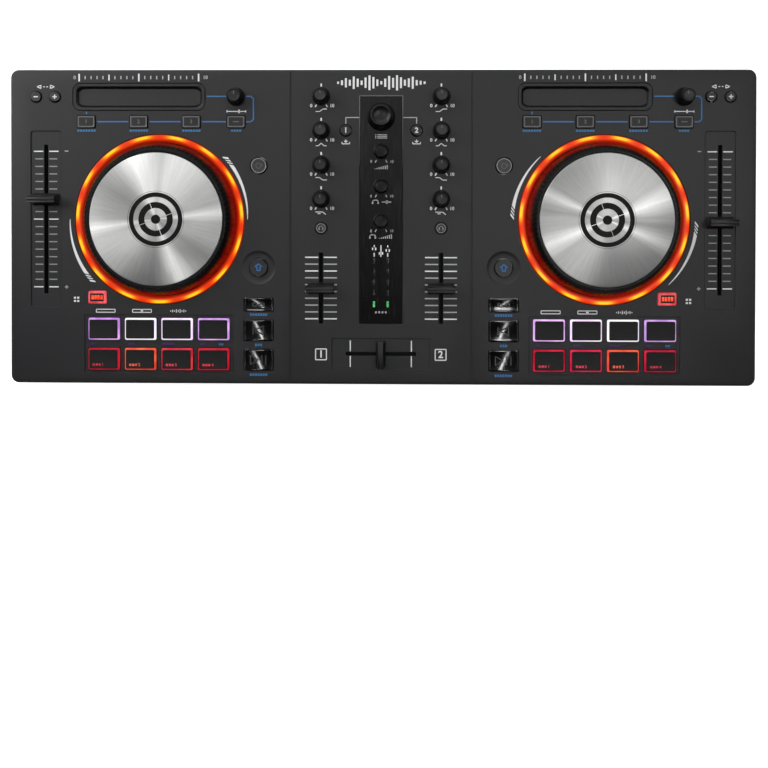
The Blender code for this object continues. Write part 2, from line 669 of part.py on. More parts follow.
def small_axis_z():
    return SOCKET_DECK + SMALL_SOCKET_HEIGHT / 2


def phono_axis_z():
    return SOCKET_DECK + PHONO_BLOCK_HEIGHT / 2


def usb_axis_z():
    return SOCKET_DECK + USB_HEIGHT / 2


def make_base_tray(material):
    """Lower shell: floor, drafted ends, closing ledge, bosses and the socket openings."""
    mesh = bmesh.new()
    floor_top = FOOT_STANDOFF + TRAY_FLOOR
    inner_corner = TRAY_CORNER - TRAY_WALL
    bottom = moved(rounded_outline(BODY_LENGTH - 2 * (TRAY_SIDE_INSET + TRAY_DRAFT + TRAY_CHAMFER),
                                   BODY_DEPTH - TRAY_FRONT_INSET - TRAY_REAR_INSET - 2 * TRAY_CHAMFER,
                                   TRAY_CORNER - TRAY_CHAMFER), 0.0, (TRAY_FRONT_INSET - TRAY_REAR_INSET) / 2)
    inner_floor = moved(rounded_outline(BODY_LENGTH - 2 * (TRAY_SIDE_INSET + TRAY_DRAFT + TRAY_WALL),
                                        BODY_DEPTH - TRAY_FRONT_INSET - TRAY_REAR_INSET - 2 * TRAY_WALL,
                                        inner_corner), 0.0, (TRAY_FRONT_INSET - TRAY_REAR_INSET) / 2)
    add_stack(mesh, [
        (bottom, FOOT_STANDOFF),
        (drafted_outline(TRAY_CORNER), FOOT_STANDOFF + TRAY_CHAMFER),
        (tray_outline(0.0, TRAY_CORNER), LEDGE_BOTTOM),
        (housing_outline(LEDGE_INSET), LEDGE_BOTTOM),
        (housing_outline(LEDGE_INSET), TRAY_TOP),
        (tray_outline(TRAY_WALL, inner_corner), TRAY_TOP),
        (inner_floor, floor_top),
    ])
    tray = piece("base_tray", mesh, material)

    bosses = bmesh.new()
    for x, y in boss_places():
        boss = [(0.0, floor_top - WELD), (BOSS_RADIUS, floor_top - WELD),
                (BOSS_RADIUS, BOARD_BOTTOM - CLEARANCE), (0.0, BOARD_BOTTOM - CLEARANCE)]
        add_turned(bosses, boss, SHAFT_STEPS, x, y)
    combine(tray, bosses, "UNION", "bosses")

    openings = bmesh.new()
    rear_in = tray_rear_y() - TRAY_WALL - OVERRUN
    rear_out = tray_rear_y() + OVERRUN
    front_in = tray_front_y() + TRAY_WALL + OVERRUN
    front_out = tray_front_y() - OVERRUN
    for step in (0, 1):
        add_lying_cylinder(openings, PHONO_RADIUS + CLEARANCE, PHONO_X + step * PHONO_PITCH, phono_axis_z(),
                           rear_in, rear_out, KEY_STEPS)
    usb = box_outline(USB_WIDTH + 2 * CLEARANCE, rear_out - rear_in)
    add_prism(openings, moved(usb, USB_X, (rear_in + rear_out) / 2),
              SOCKET_DECK - WELD - CLEARANCE, SOCKET_DECK + USB_HEIGHT + CLEARANCE)
    add_lying_cylinder(openings, PHONES_COLLAR_RADIUS + CLEARANCE, PHONES_SOCKET_X, phones_axis_z(),
                       front_out, front_in, KEY_STEPS)
    add_lying_cylinder(openings, SMALL_COLLAR_RADIUS + CLEARANCE, SMALL_SOCKET_X, small_axis_z(),
                       front_out, front_in, KEY_STEPS)
    for y in foot_rows():
        pocket = rounded_outline(FOOT_LENGTH + 2 * CLEARANCE, FOOT_WIDTH + 2 * CLEARANCE, FOOT_CORNER)
        add_prism(openings, moved(pocket, 0.0, y), FOOT_STANDOFF - OVERRUN,
                  FOOT_STANDOFF + FOOT_POCKET + CLEARANCE)
    combine(tray, openings, "DIFFERENCE", "openings")


def foot_rows():
    return [FRONT_Y + FOOT_FRONT_MARGIN, REAR_Y - FOOT_REAR_MARGIN]


def make_foot_strips(material):
    """Rubber strips glued into their pockets under the tray."""
    strip = rounded_outline(FOOT_LENGTH, FOOT_WIDTH, FOOT_CORNER)
    for name, y in zip(("front_foot_strip", "rear_foot_strip"), foot_rows()):
        mesh = bmesh.new()
        add_prism(mesh, strip, 0.0, FOOT_STANDOFF + FOOT_POCKET)
        piece(name, mesh, material, 0.0, y)


def make_centre_strip(material):
    """Glossy plate let into the middle of the panel, with a hole for each shaft."""
    mesh = bmesh.new()
    low = PANEL_TOP - STRIP_PLATE_THICKNESS
    add_prism(mesh, box_outline(STRIP_PLATE_WIDTH, STRIP_PLATE_LENGTH), low, PANEL_TOP)
    plate = piece("centre_strip", mesh, material, 0.0, STRIP_PLATE_Y)
    holes = bmesh.new()
    radius = SHAFT_RADIUS + SHAFT_HOLE_GAP
    for y in [BROWSE_Y] + gain_rows():
        hole = [(0.0, low - OVERRUN), (radius, low - OVERRUN), (radius, PANEL_TOP + OVERRUN),
                (0.0, PANEL_TOP + OVERRUN)]
        add_turned(holes, hole, SHAFT_STEPS, 0.0, y - STRIP_PLATE_Y)
    combine(plate, holes, "DIFFERENCE", "shaft_holes")


def make_light_rings(material):
    """Translucent light pipe that stands in each well round the wheel."""
    inner = RING_RADIUS - RING_WIDTH
    top = PANEL_TOP + RING_PROUD
    profile = [(inner, WELL_TOP + CLEARANCE), (RING_RADIUS, WELL_TOP + CLEARANCE),
               (RING_RADIUS, top - RING_CROWN), (RING_RADIUS - RING_CROWN, top),
               (inner + RING_CROWN, top), (inner, top - RING_CROWN)]
    for name, side in SIDES:
        mesh = bmesh.new()
        add_turned(mesh, profile, RING_STEPS, closed=True)
        piece(f"{name}_light_ring", mesh, material, side * JOG_X, JOG_Y)


def wheel_radius():
    return RING_RADIUS - RING_WIDTH - WHEEL_GAP


def plate_radius():
    return wheel_radius() - WHEEL_TAPER - WHEEL_RIM_ROUND - WHEEL_RIM_WIDTH - CLEARANCE


def make_jog_wheels(wheel_material, plate_material):
    """Moulded wheel on the panel's post, hollow below, with a metal plate let into its top."""
    foot = wheel_radius()
    shoulder = foot - WHEEL_TAPER
    rim = shoulder - WHEEL_RIM_ROUND
    seat_radius = rim - WHEEL_RIM_WIDTH
    bottom = WELL_TOP + CLEARANCE
    skirt_top = PANEL_TOP + WHEEL_SKIRT_RISE
    solid = [(0.0, bottom), (foot, bottom), (foot, skirt_top), (shoulder, WHEEL_TOP - WHEEL_RIM_ROUND),
             (rim, WHEEL_TOP), (seat_radius, WHEEL_TOP), (seat_radius, PLATE_SEAT), (0.0, PLATE_SEAT)]
    roof = PLATE_SEAT - WHEEL_ROOF
    cavity = [(HUB_RADIUS, bottom - OVERRUN), (foot - WHEEL_WALL, bottom - OVERRUN),
              (foot - WHEEL_WALL, skirt_top), (shoulder - WHEEL_WALL, roof), (HUB_RADIUS, roof)]
    bore_radius = POST_RADIUS + CLEARANCE
    bore_top = PANEL_TOP + POST_RISE + CLEARANCE
    bore = [(0.0, bottom - OVERRUN), (bore_radius, bottom - OVERRUN),
            (bore_radius, bore_top), (0.0, bore_top)]
    disc = plate_radius()
    plate_low = PLATE_SEAT + CLEARANCE
    plate = [(0.0, plate_low), (disc, plate_low), (disc, WHEEL_TOP - PLATE_BEVEL),
             (disc - PLATE_BEVEL, WHEEL_TOP), (0.0, WHEEL_TOP)]
    for name, side in SIDES:
        mesh = bmesh.new()
        add_turned(mesh, solid, WHEEL_STEPS)
        wheel = piece(f"{name}_jog_wheel", mesh, wheel_material, side * JOG_X, JOG_Y)
        hollow = bmesh.new()
        add_turned(hollow, cavity, CAVITY_STEPS, closed=True)
        add_turned(hollow, bore, HUB_STEPS)
        combine(wheel, hollow, "DIFFERENCE", "hollow")
        mesh = bmesh.new()
        add_turned(mesh, plate, RING_STEPS)
        piece(f"{name}_jog_plate", mesh, plate_material, side * JOG_X, JOG_Y)


def make_touch_strips(material):
    """Flanged trough that drops into the panel from below, flush with its face."""
    length = TOUCH_LENGTH - 2 * KEY_CLEARANCE
    depth = TOUCH_DEPTH - 2 * KEY_CLEARANCE
    trough_floor = PANEL_TOP - TOUCH_SINK
    flange = rounded_outline(TOUCH_LENGTH + 2 * KEY_OVERHANG, TOUCH_DEPTH + 2 * KEY_OVERHANG,
                             TOUCH_CORNER + KEY_OVERHANG)
    body_corner = TOUCH_CORNER - KEY_CLEARANCE
    mouth_corner = body_corner - TOUCH_RIM
    body = rounded_outline(length, depth, body_corner)
    mouth = rounded_outline(length - 2 * TOUCH_RIM, depth - 2 * TOUCH_RIM, mouth_corner)
    trough = rounded_outline(length - 2 * (TOUCH_RIM + TOUCH_SLOPE), depth - 2 * (TOUCH_RIM + TOUCH_SLOPE),
                             mouth_corner / 2)
    for name, side in SIDES:
        mesh = bmesh.new()
        add_stack(mesh, [
            (flange, trough_floor - TOUCH_FLOOR), (flange, FLANGE_TOP), (body, FLANGE_TOP),
            (body, PANEL_TOP), (mouth, PANEL_TOP), (trough, trough_floor),
        ])
        piece(f"{name}_touch_strip", mesh, material, touch_x(side), TOUCH_Y)


def make_main_board(material):
    """Printed board with what is soldered on it: pots, encoders, fader bodies and switches."""
    mesh = bmesh.new()
    inset = PANEL_WALL + BOARD_MARGIN
    add_prism(mesh, box_outline(BODY_LENGTH - 2 * inset, BODY_DEPTH - 2 * inset), BOARD_BOTTOM, BOARD_TOP)
    board = piece("main_board", mesh, material)

    soldered = bmesh.new()
    low = BOARD_TOP - WELD
    pot_top = UNDERSIDE - POT_HEADROOM
    for name, x, y, shape in knobs():
        pot = [(0.0, low), (POT_RADIUS, low), (POT_RADIUS, pot_top), (SHAFT_RADIUS, pot_top),
               (SHAFT_RADIUS, SHAFT_TOP), (0.0, SHAFT_TOP)]
        add_turned(soldered, pot, SHAFT_STEPS, x, y)
    switch = box_outline(SWITCH_SIZE, SWITCH_SIZE)
    for x, y in [key[1:3] for key in round_keys() + square_keys()]:
        add_prism(soldered, moved(switch, x, y), low, SWITCH_TOP)
    fader_top = BOARD_TOP + FADER_BODY_HEIGHT
    for x, y, length, depth in slots():
        along_x = length > depth
        long_side = max(length, depth) + 2 * FADER_END_WALL
        size = (long_side, FADER_BODY_DEPTH) if along_x else (FADER_BODY_DEPTH, long_side)
        add_prism(soldered, moved(box_outline(*size), x, y), low, fader_top)
    combine(board, soldered, "UNION", "soldered_parts")

    channels = bmesh.new()
    channel_width = LEVER_THICKNESS + 2 * CLEARANCE
    for x, y, length, depth in slots():
        along_x = length > depth
        size = (length, channel_width) if along_x else (channel_width, depth)
        channel = moved(box_outline(*size), x, y)
        add_prism(channels, channel, BOARD_TOP + FADER_CHANNEL_FLOOR, fader_top + OVERRUN)
    combine(board, channels, "DIFFERENCE", "lever_channels")


def make_knob(name, x, y, shape, material):
    """Pushed-on knob: short upright skirt, tapering grip, blind bore for the shaft."""
    radius, top_radius, rise = shape
    low = PANEL_TOP + KNOB_LIFT
    top = PANEL_TOP + rise
    bore = SHAFT_RADIUS + CLEARANCE
    bore_top = SHAFT_TOP + CLEARANCE
    profile = [(0.0, bore_top), (bore, bore_top), (bore, low), (radius, low), (radius, low + KNOB_SKIRT),
               (top_radius, top), (0.0, top)]
    mesh = bmesh.new()
    add_turned(mesh, profile, KNOB_STEPS)
    piece(name, mesh, material, x, y)


def make_round_key(name, x, y, radius, material):
    """Button with a flange under the panel and a plunger over its switch."""
    flange_radius = radius + KEY_CLEARANCE + KEY_OVERHANG
    flange_low = FLANGE_TOP - KEY_FLANGE
    plunger_low = SWITCH_TOP + KEY_TRAVEL + CLEARANCE
    top = PANEL_TOP + KEY_RISE
    profile = [(0.0, plunger_low), (PLUNGER_RADIUS, plunger_low), (PLUNGER_RADIUS, flange_low),
               (flange_radius, flange_low), (flange_radius, FLANGE_TOP), (radius, FLANGE_TOP),
               (radius, top), (0.0, top)]
    mesh = bmesh.new()
    add_turned(mesh, profile, KEY_STEPS)
    piece(name, mesh, material, x, y)


def make_square_key(name, x, y, length, depth, material):
    """Key cap with a flange under the panel and a plunger over its switch."""
    flange_low = FLANGE_TOP - KEY_FLANGE
    plunger_low = SWITCH_TOP + KEY_TRAVEL + CLEARANCE
    grow = 2 * (KEY_CLEARANCE + KEY_OVERHANG)
    plunger = rounded_outline(2 * PLUNGER_RADIUS, 2 * PLUNGER_RADIUS, KEY_CORNER, 1)
    flange = rounded_outline(length + grow, depth + grow, KEY_CORNER, 1)
    cap = rounded_outline(length, depth, KEY_CORNER, 1)
    mesh = bmesh.new()
    add_stack(mesh, [
        (plunger, plunger_low), (plunger, flange_low), (flange, flange_low), (flange, FLANGE_TOP),
        (cap, FLANGE_TOP), (cap, PANEL_TOP + KEY_RISE),
    ])
    piece(name, mesh, material, x, y)


def make_pad_mats(material):
    """Silicone mat of eight pads: a thin sheet under the panel, each pad with sides that lean in."""
    low = FLANGE_TOP - MAT_SHEET
    length = PAD_RECESS_WIDTH
    depth = PAD_RECESS_DEPTH
    foot = rounded_outline(PAD_WIDTH, PAD_DEPTH, PAD_CORNER, 1)
    top = rounded_outline(PAD_WIDTH - 2 * PAD_SLOPE, PAD_DEPTH - 2 * PAD_SLOPE, PAD_CORNER, 1)
    plunger = box_outline(2 * PLUNGER_RADIUS, 2 * PLUNGER_RADIUS)
    plunger_low = BOARD_TOP + KEY_TRAVEL + CLEARANCE
    for name, side in SIDES:
        mesh = bmesh.new()
        add_prism(mesh, box_outline(length, depth), low, FLANGE_TOP)
        mat = piece(f"{name}_pad_mat", mesh, material, side * PAD_X, PAD_Y)
        pads = bmesh.new()
        plungers = bmesh.new()
        for x, y in pad_places(side):
            local_x = x - side * PAD_X
            local_y = y - PAD_Y
            add_stack(pads, [
                (moved(foot, local_x, local_y), FLANGE_TOP - WELD),
                (moved(foot, local_x, local_y), PANEL_TOP + PAD_EDGE_RISE),
                (moved(top, local_x, local_y), PANEL_TOP + PAD_RISE),
            ])
            add_prism(plungers, moved(plunger, local_x, local_y), plunger_low, low + WELD)
        combine(mat, pads, "UNION", "pads")
        combine(mat, plungers, "UNION", "plungers")


def make_effect_mats(material):
    """Silicone mat of four effect keys, joined by a strip under the panel."""
    low = FLANGE_TOP - MAT_SHEET
    cap = rounded_outline(EFFECT_KEY_WIDTH, EFFECT_KEY_DEPTH, KEY_CORNER, 1)
    plunger = box_outline(2 * PLUNGER_RADIUS, 2 * PLUNGER_RADIUS)
    plunger_low = BOARD_TOP + KEY_TRAVEL + CLEARANCE
    for name, side in SIDES:
        places = effect_key_places(side)
        centre = (places[0] + places[-1]) / 2
        length = places[-1] - places[0] + EFFECT_KEY_WIDTH + 2 * MAT_MARGIN
        mesh = bmesh.new()
        add_prism(mesh, box_outline(length, EFFECT_KEY_DEPTH + 2 * MAT_MARGIN), low, FLANGE_TOP)
        mat = piece(f"{name}_effect_mat", mesh, material, centre, EFFECT_Y)
        caps = bmesh.new()
        plungers = bmesh.new()
        for x in places:
            add_prism(caps, moved(cap, x - centre, 0.0), FLANGE_TOP - WELD, PANEL_TOP + KEY_RISE)
            add_prism(plungers, moved(plunger, x - centre, 0.0), plunger_low, low + WELD)
        combine(mat, caps, "UNION", "caps")
        combine(mat, plungers, "UNION", "plungers")


def make_fader_cap(name, x, y, size, material, turn=0.0, sink=0.0):
    """Cap on its lever: a ridged finger bar over a waisted body, made along X and turned to its slot."""
    length, depth, rise = size
    foot_share, waist_share, neck_share = CAP_LENGTH_SHARES
    foot_depth, waist_depth, bar_depth = [share * depth for share in CAP_DEPTH_SHARES]
    low = PANEL_TOP - sink + CAP_LIFT
    height = PANEL_TOP + rise - low
    neck = low + CAP_NECK_SHARE * height
    top = low + height
    lever_low = BOARD_TOP + FADER_CHANNEL_FLOOR + CLEARANCE
    half = bar_depth / 2
    ridge_shares = (-1.0, -0.72, -0.44, -0.14, 0.14, 0.44, 0.72, 1.0)
    ridge_drops = (0, 0, 1, 1, 1, 1, 0, 0)
    crest = [(share * half, top - drop * CAP_RIDGE_DEPTH) for share, drop in zip(ridge_shares, ridge_drops)]
    crest[3] = (crest[3][0], top)
    crest[4] = (crest[4][0], top)
    profile = [(-half, neck)] + crest + [(half, neck)]
    mesh = bmesh.new()
    rings = [[mesh.verts.new((end * length / 2, py, pz)) for py, pz in profile] for end in (-1, 1)]
    for i in range(len(profile)):
        j = (i + 1) % len(profile)
        mesh.faces.new((rings[0][i], rings[0][j], rings[1][j], rings[1][i]))
    mesh.faces.new(rings[0][::-1])
    mesh.faces.new(rings[1])
    cap = piece(name, mesh, material, x, y)
    cap.rotation_euler = (0.0, 0.0, turn)

    body = bmesh.new()
    lever = box_outline(LEVER_THICKNESS, LEVER_WIDTH)
    add_stack(body, [
        (lever, lever_low), (lever, low),
        (box_outline(foot_share * length, foot_depth), low),
        (box_outline(waist_share * length, waist_depth), low + CAP_WAIST_SHARE * height),
        (box_outline(neck_share * length, waist_depth), neck + WELD),
    ])
    combine(cap, body, "UNION", "body_and_lever")


def make_fader_caps(material):
    pitch = (PITCH_CAP_LENGTH, PITCH_CAP_DEPTH, PITCH_CAP_RISE)
    line = (LINE_CAP_LENGTH, LINE_CAP_DEPTH, LINE_CAP_RISE)
    cross = (CROSS_CAP_LENGTH, CROSS_CAP_DEPTH, CROSS_CAP_RISE)
    for (name, side), offset in zip(SIDES, (LEFT_PITCH_OFFSET, RIGHT_PITCH_OFFSET)):
        make_fader_cap(f"{name}_pitch_cap", side * PITCH_X, JOG_Y + offset, pitch, material,
                       sink=PITCH_RECESS_SINK)
        make_fader_cap(f"{name}_line_cap", side * EQ_X, LINE_Y, line, material)
    make_fader_cap("crossfader_cap", 0.0, CROSS_Y, cross, material, turn=math.pi / 2, sink=CROSS_RECESS_SINK)


def make_rear_sockets(material):
    """Small board with the USB socket and the pair of phono sockets."""
    mesh = bmesh.new()
    wall_in = tray_rear_y() - TRAY_WALL - CLEARANCE
    board = box_outline(REAR_BOARD_LENGTH, REAR_BOARD_DEPTH)
    add_prism(mesh, moved(board, REAR_BOARD_X, wall_in - REAR_BOARD_DEPTH / 2), SOCKET_FLOOR, SOCKET_DECK)
    sockets = piece("rear_sockets", mesh, material)

    housings = bmesh.new()
    usb = moved(box_outline(USB_WIDTH, USB_LENGTH), USB_X, tray_rear_y() - USB_LENGTH / 2)
    add_prism(housings, usb, SOCKET_DECK - WELD, SOCKET_DECK + USB_HEIGHT)
    block = moved(box_outline(PHONO_BLOCK_LENGTH, PHONO_BLOCK_DEPTH), PHONO_X + PHONO_PITCH / 2,
                  wall_in - PHONO_BLOCK_DEPTH / 2)
    add_prism(housings, block, SOCKET_DECK - WELD, SOCKET_DECK + PHONO_BLOCK_HEIGHT)
    combine(sockets, housings, "UNION", "housings")

    barrels = bmesh.new()
    for step in (0, 1):
        add_lying_cylinder(barrels, PHONO_RADIUS, PHONO_X + step * PHONO_PITCH, phono_axis_z(),
                           wall_in - WELD, tray_rear_y() + PHONO_REACH, KEY_STEPS)
    combine(sockets, barrels, "UNION", "barrels")

    mouth = bmesh.new()
    opening = box_outline(USB_MOUTH_WIDTH, USB_MOUTH_DEPTH + OVERRUN)
    centre_y = tray_rear_y() - USB_MOUTH_DEPTH + (USB_MOUTH_DEPTH + OVERRUN) / 2
    add_prism(mouth, moved(opening, USB_X, centre_y), usb_axis_z() - USB_MOUTH_HEIGHT / 2,
              usb_axis_z() + USB_MOUTH_HEIGHT / 2)
    combine(sockets, mouth, "DIFFERENCE", "usb_mouth")


def make_front_sockets(material):
    """Small board with the two headphone sockets."""
    mesh = bmesh.new()
    wall_in = tray_front_y() + TRAY_WALL + CLEARANCE
    board_x = (PHONES_SOCKET_X + SMALL_SOCKET_X) / 2
    board = box_outline(FRONT_BOARD_LENGTH, FRONT_BOARD_DEPTH)
    add_prism(mesh, moved(board, board_x, wall_in + FRONT_BOARD_DEPTH / 2), SOCKET_FLOOR, SOCKET_DECK)
    sockets = piece("front_sockets", mesh, material)

    housings = bmesh.new()
    for x, width, length, height in (
            (PHONES_SOCKET_X, PHONES_SOCKET_WIDTH, PHONES_SOCKET_LENGTH, PHONES_SOCKET_HEIGHT),
            (SMALL_SOCKET_X, SMALL_SOCKET_WIDTH, SMALL_SOCKET_LENGTH, SMALL_SOCKET_HEIGHT)):
        outline = moved(box_outline(width, length), x, wall_in + length / 2)
        add_prism(housings, outline, SOCKET_DECK - WELD, SOCKET_DECK + height)
    combine(sockets, housings, "UNION", "housings")

    collars = bmesh.new()
    add_lying_cylinder(collars, PHONES_COLLAR_RADIUS, PHONES_SOCKET_X, phones_axis_z(),
                       tray_front_y(), wall_in + WELD, KEY_STEPS)
    add_lying_cylinder(collars, SMALL_COLLAR_RADIUS, SMALL_SOCKET_X, small_axis_z(),
                       tray_front_y(), wall_in + WELD, KEY_STEPS)
    combine(sockets, collars, "UNION", "collars")

    bores = bmesh.new()
    add_lying_cylinder(bores, PHONES_BORE_RADIUS, PHONES_SOCKET_X, phones_axis_z(),
                       tray_front_y() - OVERRUN, tray_front_y() + PHONES_BORE_DEPTH, KEY_STEPS)
    add_lying_cylinder(bores, SMALL_BORE_RADIUS, SMALL_SOCKET_X, small_axis_z(),
                       tray_front_y() - OVERRUN, tray_front_y() + SMALL_BORE_DEPTH, KEY_STEPS)
    combine(sockets, bores, "DIFFERENCE", "bores")


def make_controller():
    clear_scene()
    housing = plastic("matt_black_housing", (0.040, 0.040, 0.043), 0.55)
    gloss = plastic("gloss_black", (0.008, 0.008, 0.009), 0.12)
    rubber = plastic("soft_black", (0.018, 0.018, 0.019), 0.7)
    glow = plastic("amber_light_pipe", (1.0, 0.25, 0.02), 0.3)
    metal = plastic("brushed_aluminium", (0.62, 0.61, 0.60), 0.32, 1.0)
    silicone = plastic("clear_silicone", (0.75, 0.72, 0.80), 0.45)
    circuit = plastic("board_green", (0.02, 0.12, 0.05), 0.5)
    steel = plastic("tin_plate", (0.55, 0.55, 0.56), 0.35, 1.0)

    make_base_tray(housing)
    make_foot_strips(rubber)
    make_rear_sockets(steel)
    make_front_sockets(gloss)
    make_main_board(circuit)
    make_top_panel(housing)
    make_centre_strip(gloss)
    make_light_rings(glow)
    make_jog_wheels(gloss, metal)
    make_touch_strips(housing)
    make_pad_mats(silicone)
    make_effect_mats(silicone)
    for name, x, y, radius in round_keys():
        make_round_key(name, x, y, radius, gloss)
    for name, x, y, length, depth in square_keys():
        make_square_key(name, x, y, length, depth, gloss)
    for name, x, y, shape in knobs():
        make_knob(name, x, y, shape, rubber)
    make_fader_caps(rubber)


make_controller()
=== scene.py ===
import math

import bpy
from mathutils import Matrix


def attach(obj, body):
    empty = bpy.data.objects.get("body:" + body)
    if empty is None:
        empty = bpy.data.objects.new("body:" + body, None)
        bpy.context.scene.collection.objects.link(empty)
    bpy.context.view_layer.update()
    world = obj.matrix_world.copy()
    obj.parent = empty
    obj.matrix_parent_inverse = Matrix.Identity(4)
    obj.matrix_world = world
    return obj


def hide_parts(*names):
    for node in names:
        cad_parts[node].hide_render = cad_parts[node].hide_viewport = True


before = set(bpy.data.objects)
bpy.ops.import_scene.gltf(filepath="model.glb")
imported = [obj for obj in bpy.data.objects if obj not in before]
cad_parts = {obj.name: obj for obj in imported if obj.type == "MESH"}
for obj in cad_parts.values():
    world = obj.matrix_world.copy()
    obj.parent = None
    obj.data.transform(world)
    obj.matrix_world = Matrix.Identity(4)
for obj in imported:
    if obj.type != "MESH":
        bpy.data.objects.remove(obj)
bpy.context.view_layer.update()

# Base tray
# The lower shell is injection-moulded black ABS with the fine spark-eroded texture of its mould.
# Screws from below draw the upper shell down on it, with the board clamped between their bosses.


class Wire:
    """One socket of a material; sums on it add the Math nodes that work them out."""

    def __init__(self, tree, socket=None):
        self.tree = tree
        self.socket = socket

    def node(self, kind, settings=None, inputs=None, output=0):
        """Any node: its settings first, then the values or links of its sockets."""
        made = self.tree.nodes.new(kind)
        for name, value in (settings or {}).items():
            if name == "stops":
                stops = made.color_ramp.elements
                stops.remove(stops[-1])
                stops[0].position, stops[0].color = value[0][0], (*value[0][1], 1)
                for place, colour in value[1:]:
                    stops.new(place).color = (*colour, 1)
            else:
                setattr(made, name, value)
        for key, value in (inputs or {}).items():
            if isinstance(value, Wire):
                self.tree.links.new(value.socket, made.inputs[key])
            else:
                made.inputs[key].default_value = value
        return Wire(self.tree, made.outputs[output])

    def maths(self, operation, *values):
        return self.node("ShaderNodeMath", {"operation": operation}, dict(enumerate(values)))

    def __add__(self, other):
        return self.maths("ADD", self, other)

    def __mul__(self, other):
        return self.maths("MULTIPLY", self, other)

    def __sub__(self, other):
        return self.maths("SUBTRACT", self, other)

    def __rsub__(self, other):
        return self.maths("SUBTRACT", other, self)

    __radd__ = __add__
    __rmul__ = __mul__

    def axis(self, name):
        return self.node("ShaderNodeSeparateXYZ", None, {0: self}, name)

    def mapped(self, **sockets):
        return self.node("ShaderNodeMapping", None, {"Vector": self, **sockets})

    def step(self, low, high, from_value=0.0, to_value=1.0):
        """Goes smoothly from one value to the other as this socket goes from low to high."""
        inputs = dict(enumerate((self, low, high, from_value, to_value)))
        return self.node("ShaderNodeMapRange", {"interpolation_type": "SMOOTHSTEP"}, inputs)

    def noise(self, scale, detail=2.0, roughness=0.5):
        inputs = {"Vector": self, "Scale": scale, "Detail": detail, "Roughness": roughness}
        return self.node("ShaderNodeTexNoise", None, inputs)

    def blend(self, dark, light):
        """A colour between two, where this socket is the share of the second."""
        ends = [colour if isinstance(colour, Wire) else (*colour, 1.0) for colour in (dark, light)]
        return self.node("ShaderNodeMix", {"data_type": "RGBA"}, {0: self, 6: ends[0], 7: ends[1]}, 2)

    def bump(self, strength, distance):
        return self.node("ShaderNodeBump", None, {"Height": self, "Strength": strength, "Distance": distance})


def finish(name, specular=0.5, **fixed):
    """A new material with the values that are the same all over, its shader and object coordinates."""
    made = bpy.data.materials.new(name)
    made.use_nodes = True
    shader = made.node_tree.nodes["Principled BSDF"]
    shader.inputs["Specular IOR Level"].default_value = specular
    for key, value in fixed.items():
        shader.inputs[key.replace("_", " ").title()].default_value = value
    return made, shader, Wire(made.node_tree).node("ShaderNodeTexCoord", output="Object")


def feed(shader, **wires):
    for key, wire in wires.items():
        wire.tree.links.new(wire.socket, shader.inputs[key.replace("_", " ").title()])


def grained(name, noise, dark, light, rough, bump, specular=0.5, shade=None, **fixed):
    """A material whose shade, roughness and relief follow one noise; the shade may go its own way."""
    made, shader, place = finish(name, specular, **fixed)
    grain = place.noise(*noise)
    share = shade(place, grain) if shade else grain
    feed(shader, base_color=share.blend(dark, light), roughness=grain.step(0.3, 0.7, *rough),
         normal=grain.bump(*bump))
    return made


def grey(level, tint=1.03):
    return (level, level, level * tint)


def moulded(name, level, roughness, specular=0.5, grain=2600.0, depth=0.000012, tint=1.03):
    """Black moulded plastic: the pits of its mould, and a shade that drifts a little over the piece."""
    return grained(name, (grain, 3.0, 0.6), grey(level * 0.78, tint), grey(level * 1.22, tint),
                   (roughness - 0.05, roughness + 0.06), (0.5, depth), specular,
                   lambda place, pits: pits * 0.55 + place.noise(9.0, 2.0) * 0.45)


def assign(node, material):
    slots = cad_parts[node].data.materials
    for index in range(len(slots)):
        slots[index] = material


assign("base_tray", moulded("tray_plastic", 0.016, 0.56))

# Foot strips
# Two bars of black rubber, die-cut and glued into pockets of the tray.
# Their skin is duller than the housing, with dust in its pores.
rubber = grained("foot_rubber", (1500.0, 4.0, 0.7), grey(0.013), grey(0.045),
                 (0.72, 0.9), (0.6, 0.00004), 0.3,
                 lambda place, pores: place.noise(60.0, 3.0, 0.6).step(0.52, 0.75) * 0.5)
assign("front_foot_strip", rubber)
assign("rear_foot_strip", rubber)

# Base screws
# Ten black-zinc pan-head screws with a cross recess hold the two shells together.
# Each stands on the floor of the tray under one of its bosses.


def fresh(name):
    """Start a piece in edit mode, as a plane of one metre that is selected all over."""
    bpy.ops.object.select_all(action="DESELECT")
    bpy.ops.mesh.primitive_plane_add(size=1.0)
    made = bpy.context.object
    made.name = made.data.name = name
    bpy.ops.object.mode_set(mode="EDIT")
    return made


def sized(x, y, z=1.0, centre=(0.0, 0.0, 0.0)):
    bpy.ops.transform.resize(value=(x, y, z), center_override=centre)


def extruded(x, y, z):
    bpy.ops.mesh.extrude_region_move(TRANSFORM_OT_translate={"value": (x, y, z)})


def closed():
    """Leave edit mode with doubles merged and the faces turned outwards."""
    bpy.ops.mesh.select_all(action="SELECT")
    bpy.ops.mesh.remove_doubles(threshold=0.000001)
    bpy.ops.mesh.normals_make_consistent(inside=False)
    bpy.ops.object.mode_set(mode="OBJECT")


def eased(profile, radius, steps=3):
    """The profile with its inner corners drawn round."""
    points = [profile[0]]
    for before, corner, after in zip(profile, profile[1:], profile[2:]):
        ends = []
        for other in (before, after):
            run = math.dist(corner, other)
            share = min(radius, run * 0.45) / run
            ends.append([c + (o - c) * share for c, o in zip(corner, other)])
        for step in range(steps + 1):
            t = step / steps
            points.append(tuple((1 - t) ** 2 * a + 2 * t * (1 - t) * c + t * t * b
                                for a, c, b in zip(ends[0], corner, ends[1])))
    return points + [profile[-1]]


